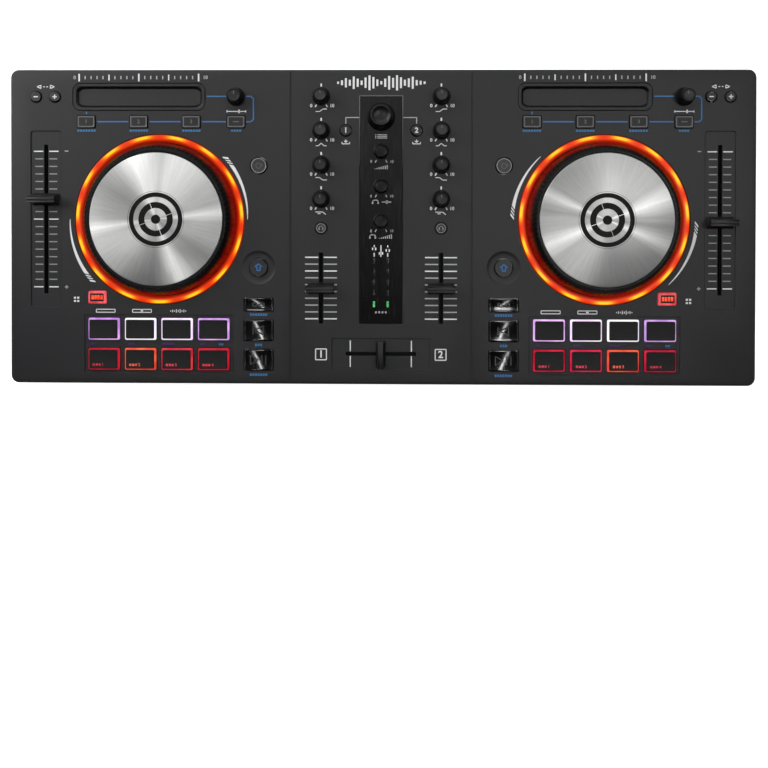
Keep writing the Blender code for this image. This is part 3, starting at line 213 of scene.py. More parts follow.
def turned(name, profile, steps, loop=False):
    """Draw half the outline of a round piece point by point, and spin it about the upright axis."""
    made = fresh(name)
    bpy.ops.mesh.merge(type="CENTER")
    bpy.ops.transform.translate(value=(profile[0][0], 0.0, profile[0][1]))
    path = profile + [profile[0]] if loop else profile
    for (radius, height), (next_radius, next_height) in zip(path, path[1:]):
        extruded(next_radius - radius, 0.0, next_height - height)
    bpy.ops.mesh.select_all(action="SELECT")
    bpy.ops.mesh.spin(steps=steps, angle=2 * math.pi, center=(0.0, 0.0, 0.0), axis=(0.0, 0.0, 1.0))
    closed()
    return made


def lofted(name, levels, corner, segments, x=0.0, y=0.0):
    """A round-cornered block drawn at one level and extruded through the rest: (height, length, depth)."""
    made = fresh(name)
    height, length, depth = levels[0]
    sized(length, depth)
    bpy.ops.transform.translate(value=(x, y, height))
    if corner:
        bpy.ops.mesh.bevel(affect="VERTICES", offset=corner, segments=segments)
        bpy.ops.mesh.select_all(action="SELECT")
    for next_height, next_length, next_depth in levels[1:]:
        extruded(0.0, 0.0, next_height - height)
        if (next_length, next_depth) != (length, depth):
            sized(next_length / length, next_depth / depth, 1.0, (x, y, next_height))
        height, length, depth = next_height, next_length, next_depth
    closed()
    return made


def slab(name, length, depth, corner, levels, segments=4, x=0.0, y=0.0):
    """A lofted block of one size, where a level is its height and how far it stands in: (height, inset)."""
    sizes = [(height, length - 2 * inset, depth - 2 * inset) for height, inset in levels]
    return lofted(name, sizes, corner, segments, x, y)


def chosen(*pieces):
    bpy.ops.object.select_all(action="DESELECT")
    for piece in pieces:
        piece.select_set(True)
    bpy.context.view_layer.objects.active = pieces[0]


def discard(*pieces):
    for piece in pieces:
        bpy.data.objects.remove(piece)


def carve(piece, cutters, operation="DIFFERENCE"):
    """Cut each helper body out of the piece, or join it on, and throw the helpers away."""
    for cutter in cutters:
        chosen(piece)
        bpy.ops.object.modifier_add(type="BOOLEAN")
        boolean = piece.modifiers[-1]
        boolean.object = cutter
        boolean.operation = operation
        boolean.solver = "EXACT"
        bpy.ops.object.modifier_apply(modifier=boolean.name)
        discard(cutter)


def joined(name, pieces):
    chosen(*pieces)
    if len(pieces) > 1:
        bpy.ops.object.join()
    pieces[0].name = pieces[0].data.name = name
    return pieces[0]


def shaded(piece, angle=35.0, bevel=0.0):
    """Bevel the sharp edges and shade the rest smooth."""
    chosen(piece)
    if bevel:
        bpy.ops.object.modifier_add(type="BEVEL")
        edge = piece.modifiers[-1]
        edge.width = bevel
        edge.segments = 2
        edge.angle_limit = math.radians(angle)
        bpy.ops.object.modifier_apply(modifier=edge.name)
    bpy.ops.object.shade_smooth_by_angle(angle=math.radians(angle))
    return piece


def moved(piece, x=0.0, y=0.0, z=0.0, turn=0.0, about="Z"):
    piece.data.transform(Matrix.Translation((x, y, z)) @ Matrix.Rotation(turn, 4, about))
    return piece


def copied(source, name, x=0.0, y=0.0, turn=0.0):
    made = source.copy()
    made.data = source.data.copy()
    made.name = made.data.name = name
    bpy.context.collection.objects.link(made)
    return moved(made, x, y, turn=turn)


def fitted(piece, body, materials, nodes=()):
    """Give a finished piece its materials, attach it to the body it rides on, and hide the nodes it stands in
    for.
    """
    for index, material in enumerate(materials):
        if index < len(piece.data.materials):
            piece.data.materials[index] = material
        else:
            piece.data.materials.append(material)
    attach(piece, body)
    for node in nodes:
        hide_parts(node)


def faces_of(piece, slot, wanted):
    """Move the faces whose middle passes the test to another material slot."""
    for face in piece.data.polygons:
        if wanted(face.center, face.normal):
            face.material_index = slot


screw_steel = grained("screw_black_zinc", (700.0, 3.0), grey(0.03), grey(0.11), (0.34, 0.5), (0.2, 0.00001),
                      shade=lambda place, wear: wear.step(0.45, 0.75), metallic=0.8)
head_profile = eased([(0.0, 0.0031), (0.0028, 0.0031), (0.0028, 0.0024), (0.0, 0.0019)], 0.0006)
head = turned("screw_head", head_profile, 32)
cross = [moved(slab("cross", 0.0028, 0.0007, 0.0, [(0.0015, 0.0), (0.0027, 0.0)]), turn=turn)
         for turn in (0.0, math.pi / 2)]
carve(head, cross)
shaded(head)
screws = [copied(head, "screw", side * x / 1000, y / 1000, side * x) for side in (-1, 1)
          for x, y in ((71.9, 96.95), (71.9, 5.55), (71.9, -100.95), (234.2, 79.4), (248.9, -95.3))]
discard(head)
fitted(joined("base_screws", screws), "housing", [screw_steel])

# Rear sockets
# A USB type B socket in its tin shell and a pair of phono sockets, soldered to a small board.
# Turned collars and coloured insulators stand in the barrels; the board is screwed to the tray floor.
tin = grained("tin_plate_shell", (420.0, 3.0, 0.55), (0.52, 0.52, 0.53), (0.74, 0.73, 0.71), (0.24, 0.4),
              (0.15, 0.00001), metallic=1.0)
assign("rear_sockets", tin)


def insulator(name, colour):
    dark = tuple(c * 0.7 for c in colour)
    return grained(name, (500.0, 2.0), dark, colour, (0.35, 0.5), (0.1, 0.00001), 0.4)


def collar(name, inner, outer, height, ease, steps, x, y, z, front=1.0):
    """Turn a flat ring with eased edges, and lay it along Y with its top outwards."""
    washer = eased([(inner, 0.0), (outer, 0.0), (outer, height), (inner, height)], ease)
    made = moved(turned(name, washer, steps, loop=True), x, y, z, -front * math.pi / 2, "X")
    fitted(shaded(made), "housing", [tin])


cup_profile = [(0.0, -0.0005), (0.0034, -0.0005), (0.0034, 0.0002), (0.0018, 0.0002), (0.0016, -0.0002),
               (0.0, -0.0002)]
for label, colour, x in (("red", (0.45, 0.02, 0.02), 0.0215), ("white", (0.62, 0.62, 0.60), 0.0355)):
    collar(f"phono_{label}_collar", 0.0044, 0.0049, 0.0008, 0.0002, 40, x, 0.10445, 0.01225)
    cup = moved(turned(f"phono_{label}_insert", cup_profile, 40), x, 0.11265, 0.01225, -math.pi / 2, "X")
    fitted(shaded(cup), "housing", [insulator(f"phono_{label}", colour)])
tongue = slab("usb_tongue", 0.0056, 0.0075, 0.0, [(0.0112, 0.0), (0.0143, 0.0)], x=0.0545, y=0.0985)
tongue_white = insulator("usb_tongue_white", (0.6, 0.6, 0.58))
fitted(shaded(tongue, bevel=0.0004), "housing", [tongue_white])

# Front sockets
# The 6.35 mm and 3.5 mm headphone sockets are black nylon blocks with a collar through the front wall.
# A ring nut is screwed on each collar.
assign("front_sockets", moulded("socket_nylon", 0.009, 0.32, grain=1400.0))
collar("phones_nut", 0.0034, 0.0066, 0.0011, 0.0004, 48, -0.150, -0.10845, 0.0129, -1.0)
collar("small_nut", 0.0019, 0.0046, 0.0011, 0.0004, 48, -0.130, -0.10845, 0.01075, -1.0)

# Main board
# A green glass-epoxy board with the pots, encoders, faders and tact switches soldered on it.
# It is clamped between the bosses of the two shells, and shows only through the slots.
assign("main_board", grained("board_epoxy", (1900.0, 2.0), (0.0010, 0.0030, 0.0018), (0.0018, 0.0050, 0.0030),
                             (0.35, 0.5), (0.2, 0.00001), 0.12))

# Top panel
# The upper shell is one moulding: a face with its skirt, wells for the wheels, sunk fields for the faders
# and pads, and an opening for each control. Spark-eroded black ABS, screwed to the tray from below.
PANEL_TOP = 0.0320
MOUTH = 0.00016
UNDER = 0.0265
DECKS = (("left", -1), ("right", 1))
JOG_X, JOG_Y = 0.164, 0.00555
PITCH_X, BEND_STEP = 0.2489, 0.00705
LINE_X, LINE_Y = 0.0443, -0.0451
CROSS_Y, STRIP_Y = -0.09365, 0.0127
GROUP_X, EFFECT_PLACES = 0.1647, (-0.0538, -0.0148, 0.0242, 0.0574)
TOP_ROW, EFFECT_ROW = 0.09615, 0.07775
KEY_X, WHEEL_KEY_Y, SHIFT_Y = 0.0905, 0.04535, -0.0299
PHONES_Y = -0.0007
LOAD_X, LOAD_Y = 0.0261, 0.0713
MODE_X, MODE_Y = 0.2105, -0.0524
PAD_X, PAD_Y, PAD_STEP, PAD_ROWS = 0.164655, -0.08695, 0.02717, (-0.0758, -0.0981)
SMALL_KEY = (0.0131, 0.0089)
SQUARE_KEYS = {"sync": (0.0214, 0.0095, -0.0574), "cue": (0.0214, 0.0152, -0.07645),
               "play": (0.0214, 0.0152, -0.09835)}
ROUND_KEYS = {"bend": 0.0040, "wheel": 0.0061, "phones": 0.0043, "load": 0.0042, "shift": 0.00675}
ROUND_PLAY, SQUARE_PLAY = 0.0004, 0.0008
panel = slab("top_panel_shell", 0.551, 0.2329, 0.006, [(0.0205, 0.0), (PANEL_TOP, 0.0)], segments=10)
chosen(panel)
bpy.ops.object.mode_set(mode="EDIT")
bpy.ops.mesh.select_all(action="DESELECT")
bpy.ops.object.mode_set(mode="OBJECT")
for edge in panel.data.edges:
    edge.select = all(panel.data.vertices[v].co.z > PANEL_TOP - 0.0001 for v in edge.vertices)
bpy.ops.object.mode_set(mode="EDIT")
bpy.ops.mesh.select_mode(type="EDGE")
bpy.ops.mesh.bevel(offset=0.0022, segments=6)
bpy.ops.mesh.select_mode(type="VERT")
bpy.ops.object.mode_set(mode="OBJECT")
carve(panel, [slab("hollow", 0.546, 0.2279, 0.0035, [(0.018, 0.0), (0.0295, 0.0)])])
cups = [moved(turned("cup", [(0.0, 0.024), (0.0645, 0.024), (0.0645, 0.0299), (0.0, 0.0299)], 128),
              side * JOG_X, JOG_Y) for _, side in DECKS]
carve(panel, [joined("cups", cups)], "UNION")


def socket(radius, low, x, y, mouth=MOUTH, steps=40):
    """A round cutter that leaves a fine chamfer at the mouth of its hole."""
    over = PANEL_TOP + 0.002
    profile = [(0.0, low), (radius, low), (radius, PANEL_TOP - mouth), (radius + mouth, PANEL_TOP),
               (radius + mouth, over), (0.0, over)]
    return moved(turned("hole", profile, steps), x, y)


def window(length, depth, corner, low, x, y, mouth=MOUTH, segments=4):
    """A round-cornered cutter that leaves a fine chamfer at the mouth of its opening."""
    levels = [(low, 0.0), (PANEL_TOP - mouth, 0.0), (PANEL_TOP, -mouth), (PANEL_TOP + 0.002, -mouth)]
    return slab("window", length, depth, corner, levels, segments, x, y)


fields, holes = [], []
for _, side in DECKS:
    dish = turned("dish", [(0.0, 0.0312), (0.0095, 0.0312), (0.0112, 0.0314), (0.0125, 0.0320),
                           (0.0125, 0.034), (0.0, 0.034)], 64)
    fields += [socket(0.0631, 0.026, side * JOG_X, JOG_Y, steps=128),
               window(0.0008, 0.24, 0.0, 0.0314, side * 0.0669, 0.0, 0.0002),
               window(0.0224, 0.1307, 0.002, 0.0310, side * PITCH_X, JOG_Y, 0.00025),
               window(0.11051, 0.0426, 0.0008, 0.0312, side * PAD_X, PAD_Y, 0.0004),
               moved(dish, side * KEY_X, SHIFT_Y)]
    holes += [window(0.0030, 0.1106, 0.0, UNDER, side * PITCH_X, JOG_Y, 0.0),
              window(0.0030, 0.0523, 0.0, UNDER, side * LINE_X, LINE_Y)]
    for label, x, y in (("bend", PITCH_X - BEND_STEP, TOP_ROW), ("bend", PITCH_X + BEND_STEP, TOP_ROW),
                        ("wheel", KEY_X, WHEEL_KEY_Y), ("phones", LINE_X, PHONES_Y),
                        ("load", LOAD_X, LOAD_Y)):
        holes.append(socket(ROUND_KEYS[label] + ROUND_PLAY, UNDER, side * x, y))
    holes.append(socket(ROUND_KEYS["shift"] + ROUND_PLAY, UNDER, side * KEY_X, SHIFT_Y, 0.0))
    for length, depth, y in SQUARE_KEYS.values():
        holes.append(window(length + SQUARE_PLAY, depth + SQUARE_PLAY, 0.0013, UNDER, side * KEY_X, y))
    small = [size + SQUARE_PLAY for size in SMALL_KEY]
    holes.append(window(*small, 0.0013, UNDER, side * MODE_X, MODE_Y))
    touch_x = side * GROUP_X + EFFECT_PLACES[1]
    holes.append(window(0.0987, 0.0206, 0.006, UNDER, touch_x, TOP_ROW, segments=10))
    holes += [window(*small, 0.0013, UNDER, side * GROUP_X + place, EFFECT_ROW) for place in EFFECT_PLACES]
    holes += [window(0.0242, 0.0171, 0.0016, UNDER, side * PAD_X + (column - 1.5) * PAD_STEP, row, 0.0)
              for column in range(4) for row in PAD_ROWS]
fields += [window(0.0723, 0.0226, 0.0006, 0.0312, 0.0, CROSS_Y, 0.0003),
           window(0.0318, 0.1683, 0.0, 0.0307, 0.0, STRIP_Y, 0.0003)]
holes.append(window(0.0519, 0.0030, 0.0, UNDER, 0.0, CROSS_Y, 0.0))
carve(panel, [joined("fields", fields), joined("holes", holes)])
panel_plastic = moulded("panel_plastic", 0.0105, 0.48, specular=0.32, grain=2300.0, depth=0.000016, tint=1.13)
fitted(shaded(panel, 28.0), "housing", [panel_plastic], ["top_panel"])

# Centre strip
# A plate of gloss-black acrylic, let into the middle of the panel and glued round its edge.
# The level meter shines through it from the board, in windows left clear of its black backing.
CENTRE_KNOBS = {"browse": 0.08145, "master_gain": 0.05605, "cue_mix": 0.03045, "cue_gain": 0.00485}
gloss, shader, place = finish("strip_acrylic")
wipe = place.mapped(Scale=(900.0, 60.0, 1.0)).noise(1.0, 2.0)
feed(shader, base_color=place.noise(35.0, 3.0).blend(grey(0.0016), grey(0.0028)),
     roughness=wipe.step(0.3, 0.8, 0.10, 0.17), normal=wipe.bump(0.03, 0.000004))
strip = slab("centre_plate", 0.0312, 0.1677, 0.0006, [(0.0310, 0.0), (0.0318, 0.0), (PANEL_TOP, 0.0002)], 3,
             0.0, STRIP_Y)
carve(strip, [socket(0.0036, 0.030, 0.0, y, 0.0) for y in CENTRE_KNOBS.values()])
fitted(shaded(strip), "housing", [gloss], ["centre_strip"])


def glowing(name, low, high, strength=1.0, scale=300.0):
    """A lit window: the colour that shines through it drifts between two shades."""
    made, shader, place = finish(name, emission_strength=strength, roughness=0.4)
    drift = place.noise(scale, 2.0).step(0.35, 0.65)
    feed(shader, base_color=drift.blend(tuple(c * 0.3 for c in low), tuple(c * 0.3 for c in high)),
         emission_color=drift.blend(low, high))
    return made


segment = slab("segment", 0.0015, 0.0044, 0.0003,
               [(0.0316, 0.0), (PANEL_TOP + 0.00002, 0.0), (PANEL_TOP + 0.00006, 0.0002)], 2)
smoked = moulded("meter_smoked", 0.0045, 0.2, specular=0.3)
green = glowing("meter_green", (0.02, 0.26, 0.05), (0.07, 0.56, 0.15), 0.85, 700.0)
for label, rows, material in (("unlit", (-48.9, -40.9, -32.9, -24.9, -16.9), smoked),
                              ("lit", (-56.9,), green)):
    windows = [copied(segment, "window", x, y / 1000) for x in (-0.0051, 0.0051) for y in rows]
    fitted(shaded(joined(f"meter_{label}", windows)), "housing", [material])
discard(segment)

# Light rings
# A clear amber light pipe stands in each well round its wheel. Fifteen lamps on the board shine through it,
# so it glows red-orange, with a yellow patch over each lamp.
LAMPS, FIRST_LAMP = 15, -0.2625
ring_profile = [(0.0573, 0.0263), (0.0628, 0.0263), (0.0628, 0.0319), (0.0622, PANEL_TOP + 0.0003),
                (0.0610, PANEL_TOP + 0.0004), (0.0590, PANEL_TOP + 0.0002), (0.0578, PANEL_TOP - 0.0001),
                (0.0573, PANEL_TOP - 0.0006)]
ring = turned("ring", eased(ring_profile, 0.0006, 3) + [ring_profile[0]], 180)


def round_the_post(place, side):
    """The angle about the middle of a jog wheel, and the distance from it."""
    local = place.mapped(Location=(-side * JOG_X, -JOG_Y, 0.0))
    flat = local.node("ShaderNodeVectorMath", {"operation": "MULTIPLY"}, {0: local, 1: (1.0, 1.0, 0.0)})
    across = flat.node("ShaderNodeVectorMath", {"operation": "LENGTH"}, {0: flat}, 1)
    return local.maths("ARCTAN2", local.axis("Y"), local.axis("X")), across


for name, side in DECKS:
    pipe, shader, place = finish(f"{name}_light_pipe", 0.15, roughness=0.35, emission_strength=0.92)
    angle, across = round_the_post(place, side)
    # A hundred whole steps more keep the count above nothing.
    turns = angle * (LAMPS / (2 * math.pi)) + (100.0 + FIRST_LAMP)
    nearest = turns.maths("ABSOLUTE", turns.maths("FRACT", turns + 0.5) - 0.5)
    patch = nearest.step(0.46, 0.08) * (across.step(0.0588, 0.0608) * across.step(0.0628, 0.0618))
    heat = patch + (place.noise(260.0, 2.0) - 0.5) * 0.12 * patch
    edge = across.maths("MAXIMUM", across.step(0.0619, 0.0628), across.step(0.0600, 0.0576))
    stops = [(0.0, (0.84, 0.034, 0.0)), (0.35, (0.98, 0.12, 0.0)), (0.7, (1.0, 0.38, 0.001)),
             (1.0, (1.0, 0.74, 0.02))]
    orange = heat.node("ShaderNodeValToRGB", {"stops": stops}, {"Fac": heat})
    feed(shader, emission_color=(edge * 0.9).blend(orange, (0.17, 0.004, 0.0)),
         base_color=heat.blend((0.10, 0.008, 0.0), (0.14, 0.03, 0.0)))
    glow_ring = shaded(copied(ring, f"{name}_glow_ring", side * JOG_X, JOG_Y), 40.0)
    fitted(glow_ring, "housing", [pipe], [f"{name}_light_ring"])
discard(ring)

# Jog wheels
# Gloss-black moulded wheels turn on the posts of the panel. Ninety fine scallops round the shoulder
# give the fingers a grip, and a raised rim protects the plate. The ring's red light on the foot is a painted
# glow.
SCALLOPS = 90
wheel_profile = [(0.0535, 0.0263), (0.0565, 0.0263), (0.0565, 0.0332), (0.0562, 0.0342), (0.0531, 0.0425),
                 (0.0522, 0.0434), (0.0514, 0.0443), (0.0500, 0.0445), (0.0492, 0.0443), (0.0492, 0.0433),
                 (0.0, 0.0433), (0.0, 0.0413), (0.0475, 0.0413), (0.0505, 0.0400), (0.0535, 0.0332)]
wheel = turned("wheel", wheel_profile, 4 * SCALLOPS, loop=True)
for vertex in wheel.data.vertices:
    place = vertex.co
    reach = math.hypot(place.x, place.y)
    shoulder = place.z > 0.0330 and reach > 0.0508 and not (place.z < 0.0337 and reach < 0.0540)
    if shoulder and math.cos(SCALLOPS * math.atan2(place.y, place.x)) > 0:
        share = 1 - (0.00045 if place.z > 0.0420 else 0.00005) / reach
        place.x *= share
        place.y *= share
wheel_black, shader, place = finish("wheel_gloss_black", 0.12, emission_strength=1.0)
scuff = place.noise(1100.0, 3.0, 0.6)
streak = place.mapped(Scale=(1.0, 1.0, 0.02)).noise(420.0, 3.0, 0.7)
# Painted glow: a streaked red emission on the lower wheel stands in for the ring's light falling on it.
painted_ring_glow = place.axis("Z").step(0.0420, 0.0330) * streak.step(0.25, 0.75, 0.35, 1.0)
feed(shader, base_color=scuff.blend(grey(0.002), grey(0.005)),
     emission_color=painted_ring_glow.blend((0.0, 0.0, 0.0), (0.24, 0.003, 0.001)),
     roughness=scuff.step(0.35, 0.75, 0.28, 0.42), normal=scuff.bump(0.12, 0.000008))
for name, side in DECKS:
    fluted_wheel = shaded(copied(wheel, f"{name}_fluted_wheel", side * JOG_X, JOG_Y), 24.0)
    fitted(fluted_wheel, f"{name}_jog", [wheel_black], [f"{name}_jog_wheel"])
discard(wheel)

# Jog plates
# A disc of spun aluminium is pressed into the top of each wheel, with fine turning lines and an anisotropic
# sheen. Its bright and dark wedges are painted highlights and painted shade, set in its colour by angle.
# A plain target mark is printed round its middle.
disc_profile = [(0.0, 0.0436), (0.0489, 0.0436), (0.0489, 0.0441), (0.0485, 0.04445), (0.0, 0.04445)]
disc = turned("disc", eased(disc_profile, 0.0001, 2), 180)


def dyed(name, level, roughness=0.5, specular=0.4):
    """A printed ink: dense, with the slight mottling of a screen print."""
    colour = level if isinstance(level, tuple) else grey(level, 1.0)
    return grained(name, (2400.0, 2.0), tuple(c * 0.88 for c in colour), colour,
                   (roughness - 0.05, roughness + 0.05), (0.05, 0.000004), specular)


def hoop(inner, outer, low, high, steps):
    """A flat ring, or a disc where the inner radius is nothing."""
    return turned("hoop", [(inner, low), (outer, low), (outer, high), (inner, high)], steps, loop=inner > 0)


mark_ink = dyed("plate_mark_ink", 0.004, specular=0.12)
MARK = (0.04443, 0.04448)
# Painted wedges: middle angle and half width in degrees, and a tone; bright tones are painted highlights,
# dark tones painted shade, and the base tone lies between them.
PAINTED_WEDGE_BASE = 0.52
PAINTED_WEDGES = {
    "left": ((-172, 8, 0.85), (-92, 7, 0.45), (-68, 17, 1.0), (-36, 15, 0.38),
             (6, 9, 0.90), (84, 7, 0.42), (111, 20, 1.0), (146, 15, 0.42)),
    "right": ((-157, 14, 1.0), (-100, 30, 0.50), (-23, 12, 1.0), (-6, 5, 0.40),
              (20, 16, 1.0), (75, 30, 0.50), (157, 9, 0.95), (171, 6, 0.42)),
}
for name, side in DECKS:
    spun, shader, place = finish(f"{name}_spun_aluminium", metallic=1.0, anisotropic=0.9)
    angle, across = round_the_post(place, side)
    # Painted highlights and painted shade: the plate's colour steps through the wedge tones by angle round
    # the post.
    stops = [((around + step * half + 180) / 360, grey(PAINTED_WEDGE_BASE if step else tone, 0.985))
             for around, half, tone in PAINTED_WEDGES[name] for step in (-1, 0, 1)]
    painted_wedge = angle.node("ShaderNodeValToRGB", {"stops": stops}, {"Fac": angle * (0.5 / math.pi) + 0.5})
    lines = across.node("ShaderNodeCombineXYZ", None, {0: across * 5200.0, 1: angle * 1.2})
    lines = lines.noise(1.0, 3.0, 0.7)
    streaks = across.node("ShaderNodeCombineXYZ", None, {0: across * 40.0, 1: angle * 26.0})
    streaks = streaks.noise(1.0, 3.0, 0.6)
    tone = lines.step(0.25, 0.75, 0.0, 0.5) + streaks.step(0.3, 0.7, 0.0, 0.5)
    colour = painted_wedge.node("ShaderNodeMix", {"data_type": "RGBA", "blend_type": "MULTIPLY"},
                        {0: 1.0, 6: painted_wedge, 7: tone.blend(grey(0.80, 1.0), grey(1.0, 1.0))}, 2)
    feed(shader, base_color=colour, roughness=lines.step(0.3, 0.7, 0.44, 0.54),
         normal=lines.bump(0.08, 0.000006))
    body = f"{name}_jog"
    plate = shaded(copied(disc, f"{name}_spun_plate", side * JOG_X, JOG_Y))
    fitted(plate, body, [spun], [f"{name}_jog_plate"])
    parts = [hoop(0.0163, 0.0196, *MARK, 96), hoop(0.0205, 0.0207, *MARK, 96), hoop(0.0, 0.0034, *MARK, 48)]
    for quarter in range(4):
        arc = hoop(0.0082, 0.0126, *MARK, 96)
        block = slab("gap", 0.03, 0.03, 0.0, [(0.0440, 0.0), (0.0450, 0.0)], x=0.0152, y=0.0152)
        carve(arc, [block], "INTERSECT")
        parts.append(moved(arc, turn=quarter * math.pi / 2 + 0.35))
    mark = moved(joined(f"{name}_plate_mark", parts), side * JOG_X, JOG_Y)
    fitted(shaded(mark), body, [mark_ink])
discard(disc)

# Touch strips
# A moulded trough drops into the panel of each deck from below, flush with its face.
# Its sloping walls are polished, and darker than the rest as painted shade in the trough;
# they lead down to the flat touch plate, which has the texture of the panel.
FLANGE = [(0.0282, -0.0012), (0.0292, -0.0012), (0.0292, 0.0)]
# The walls: a polished copy of the plastic, made darker as painted shade in the trough.
polished_shaded_wall = moulded("trough_wall_polished", 0.0030, 0.28, specular=0.3, grain=1200.0, depth=0.000004)
for name, side in DECKS:
    trough = slab(f"{name}_touch_trough", 0.0979, 0.0198, 0.0056, FLANGE + [
        (PANEL_TOP - 0.0002, 0.0), (PANEL_TOP, 0.0002),
        (PANEL_TOP, 0.0020), (PANEL_TOP - 0.0002, 0.0023), (0.0297, 0.0035), (0.0294, 0.0038)],
        10, side * GROUP_X + EFFECT_PLACES[1], TOP_ROW)
    # The sloping wall faces take the polished material with its painted shade.
    faces_of(trough, 1, lambda c, n: 0.0296 < c.z < PANEL_TOP - 0.0001 and n.z > 0.05)
    fitted(shaded(trough, 30.0), "housing", [panel_plastic, polished_shaded_wall],
           [f"{name}_touch_strip"])

# Pad mats
# Each deck's eight pads are one silicone mat under the panel. The sloping sides of a pad let the light of
# its lamp through, and its top is sprayed black. The lamps mark the bank that is chosen.
PAD_COLOURS = {
    "left": ((0.46, 0.20, 0.66, 0.76, 0.42, 0.88), (0.90, 0.84, 1.0, 1.0, 0.98, 1.0),
             (0.86, 0.66, 1.0, 1.0, 0.88, 1.0), (0.52, 0.26, 0.72, 0.88, 0.52, 0.94),
             (0.42, 0.004, 0.02, 0.70, 0.012, 0.04), (0.85, 0.05, 0.02, 1.0, 0.16, 0.08),
             (0.62, 0.01, 0.05, 0.88, 0.06, 0.06), (0.50, 0.004, 0.02, 0.76, 0.014, 0.04)),
    "right": ((0.62, 0.34, 0.74, 0.90, 0.58, 0.96), (0.84, 0.66, 1.0, 1.0, 0.88, 1.0),
              (0.92, 0.86, 1.0, 1.0, 0.98, 1.0), (0.44, 0.24, 0.64, 0.66, 0.40, 0.78),
              (0.48, 0.004, 0.03, 0.74, 0.014, 0.05), (0.60, 0.006, 0.06, 0.84, 0.03, 0.08),
              (0.82, 0.04, 0.03, 1.0, 0.13, 0.06), (0.40, 0.004, 0.03, 0.64, 0.012, 0.05)),
}
pad_black = moulded("pad_soft_black", 0.0060, 0.55, specular=0.22, grain=1800.0)
sheet_black = moulded("mat_sheet_black", 0.008, 0.7, specular=0.2)
pad = slab("pad", 0.0234, 0.0163, 0.0012, [
    (0.0289, 0.0), (0.0317, 0.0), (0.0322, 0.0001), (0.0339, 0.00115), (0.0343, 0.0014), (0.0346, 0.0017),
    (0.0346, 0.0020), (0.03455, 0.0023)], 5)
faces_of(pad, 1, lambda c, n: c.z > 0.0340 or c.z < 0.0318)
shaded(pad, 40.0)


def numeral(name, text, size, low, high):
    """A plain printed number, so many millimetres high, made as text and turned into a thin closed mesh."""
    bpy.ops.object.select_all(action="DESELECT")
    bpy.ops.object.text_add(location=(0.0, 0.0, 0.0))
    made = bpy.context.object
    made.data.body = text
    made.data.size = size / 1000
    made.data.align_x = "CENTER"
    made.data.align_y = "CENTER"
    made.data.extrude = (high - low) / 2
    made.data.offset = size / 1000 * 0.025
    made.data.resolution_u = 3
    bpy.ops.object.convert(target="MESH")
    made.name = made.data.name = name
    return moved(made, z=(low + high) / 2)


def strokes(name, lines, width, low, high):
    """Printed lines in millimetres, each a bar from point to point: (x, y, x, y), or with its own width."""
    made = fresh(name)
    bpy.ops.mesh.delete(type="VERT")
    for line in lines:
        x0, y0, x1, y1, bar = (value / 1000 for value in (*line, width)[:5])
        bpy.ops.mesh.primitive_plane_add(size=1.0)
        sized(math.hypot(x1 - x0, y1 - y0), bar)
        bpy.ops.transform.rotate(value=-math.atan2(y1 - y0, x1 - x0), orient_axis="Z",
                                 center_override=(0.0, 0.0, 0.0))
        bpy.ops.transform.translate(value=((x0 + x1) / 2, (y0 + y1) / 2, low))
    bpy.ops.mesh.select_all(action="SELECT")
    extruded(0.0, 0.0, high - low)
    bpy.ops.mesh.select_all(action="SELECT")
    bpy.ops.mesh.normals_make_consistent(inside=False)
    bpy.ops.object.mode_set(mode="OBJECT")
    return made


PAD_INK = (0.03453, 0.03462)
for name, side in DECKS:
    body = f"{name}_pad_mat"
    sheet = slab(f"{name}_mat_sheet", 0.1105, 0.0426, 0.001, [(0.0284, 0.0), (0.0291, 0.0)], 2,
                 side * PAD_X, PAD_Y)
    fitted(shaded(sheet), body, [sheet_black], [body])
    for index, shades in enumerate(PAD_COLOURS[name]):
        low, high = shades[:3], shades[3:]
        x, y = side * PAD_X + (index % 4 - 1.5) * PAD_STEP, PAD_ROWS[index // 4]
        lit = glowing(f"{name}_pad_glow_{index + 1}", low, high, 0.92 if index < 4 else 0.72, 90.0)
        one = copied(pad, f"{name}_pad_{index + 1}", x, y)
        fitted(one, body, [lit, pad_black], [body])
        if index > 3:
            digit = moved(numeral("digit", str(index - 3), 3.0, *PAD_INK), -0.0004, -0.0040)
            dashes = [(-7.8, -4.0, -6.2, -4.0), (-5.6, -4.0, -4.0, -4.0), (-3.4, -4.0, -2.0, -4.0)]
            dashes = strokes("dashes", dashes, 1.7, *PAD_INK)
            faint = glowing(f"{name}_pad_mark_glow_{index + 1}", tuple(c * 0.55 for c in low),
                            tuple(c * 0.8 for c in high), 1.0, 900.0)
            mark = moved(joined(f"{name}_pad_mark_{index + 1}", [digit, dashes]), x, y)
            fitted(mark, body, [faint])
discard(pad)

# Effect key mats
# Four grey silicone keys on one mat above each wheel, with a paler frame and a plain number on each face.
# The fourth key, under the parameter knob, carries a bar.
KEY_TOP = 0.0331
key_grey = moulded("effect_key_grey", 0.011, 0.5, specular=0.3, grain=1500.0)
key_frame = moulded("effect_key_frame", 0.085, 0.45, specular=0.4, grain=1500.0)
key_dark = moulded("key_side_dark", 0.004, 0.5, specular=0.25)
effect_key = slab("effect_key", *SMALL_KEY, 0.0009, [
    (0.0284, -0.0005), (0.0291, -0.0005), (0.0291, 0.0), (0.0328, 0.0), (KEY_TOP, 0.0003),
    (KEY_TOP, 0.0005), (KEY_TOP, 0.0013), (0.0330, 0.0014), (0.0330, 0.0018)], 4)


def from_edge(c):
    """How far a place on a small key lies out over its edge."""
    return max(abs(c.x) - SMALL_KEY[0] / 2, abs(c.y) - SMALL_KEY[1] / 2)


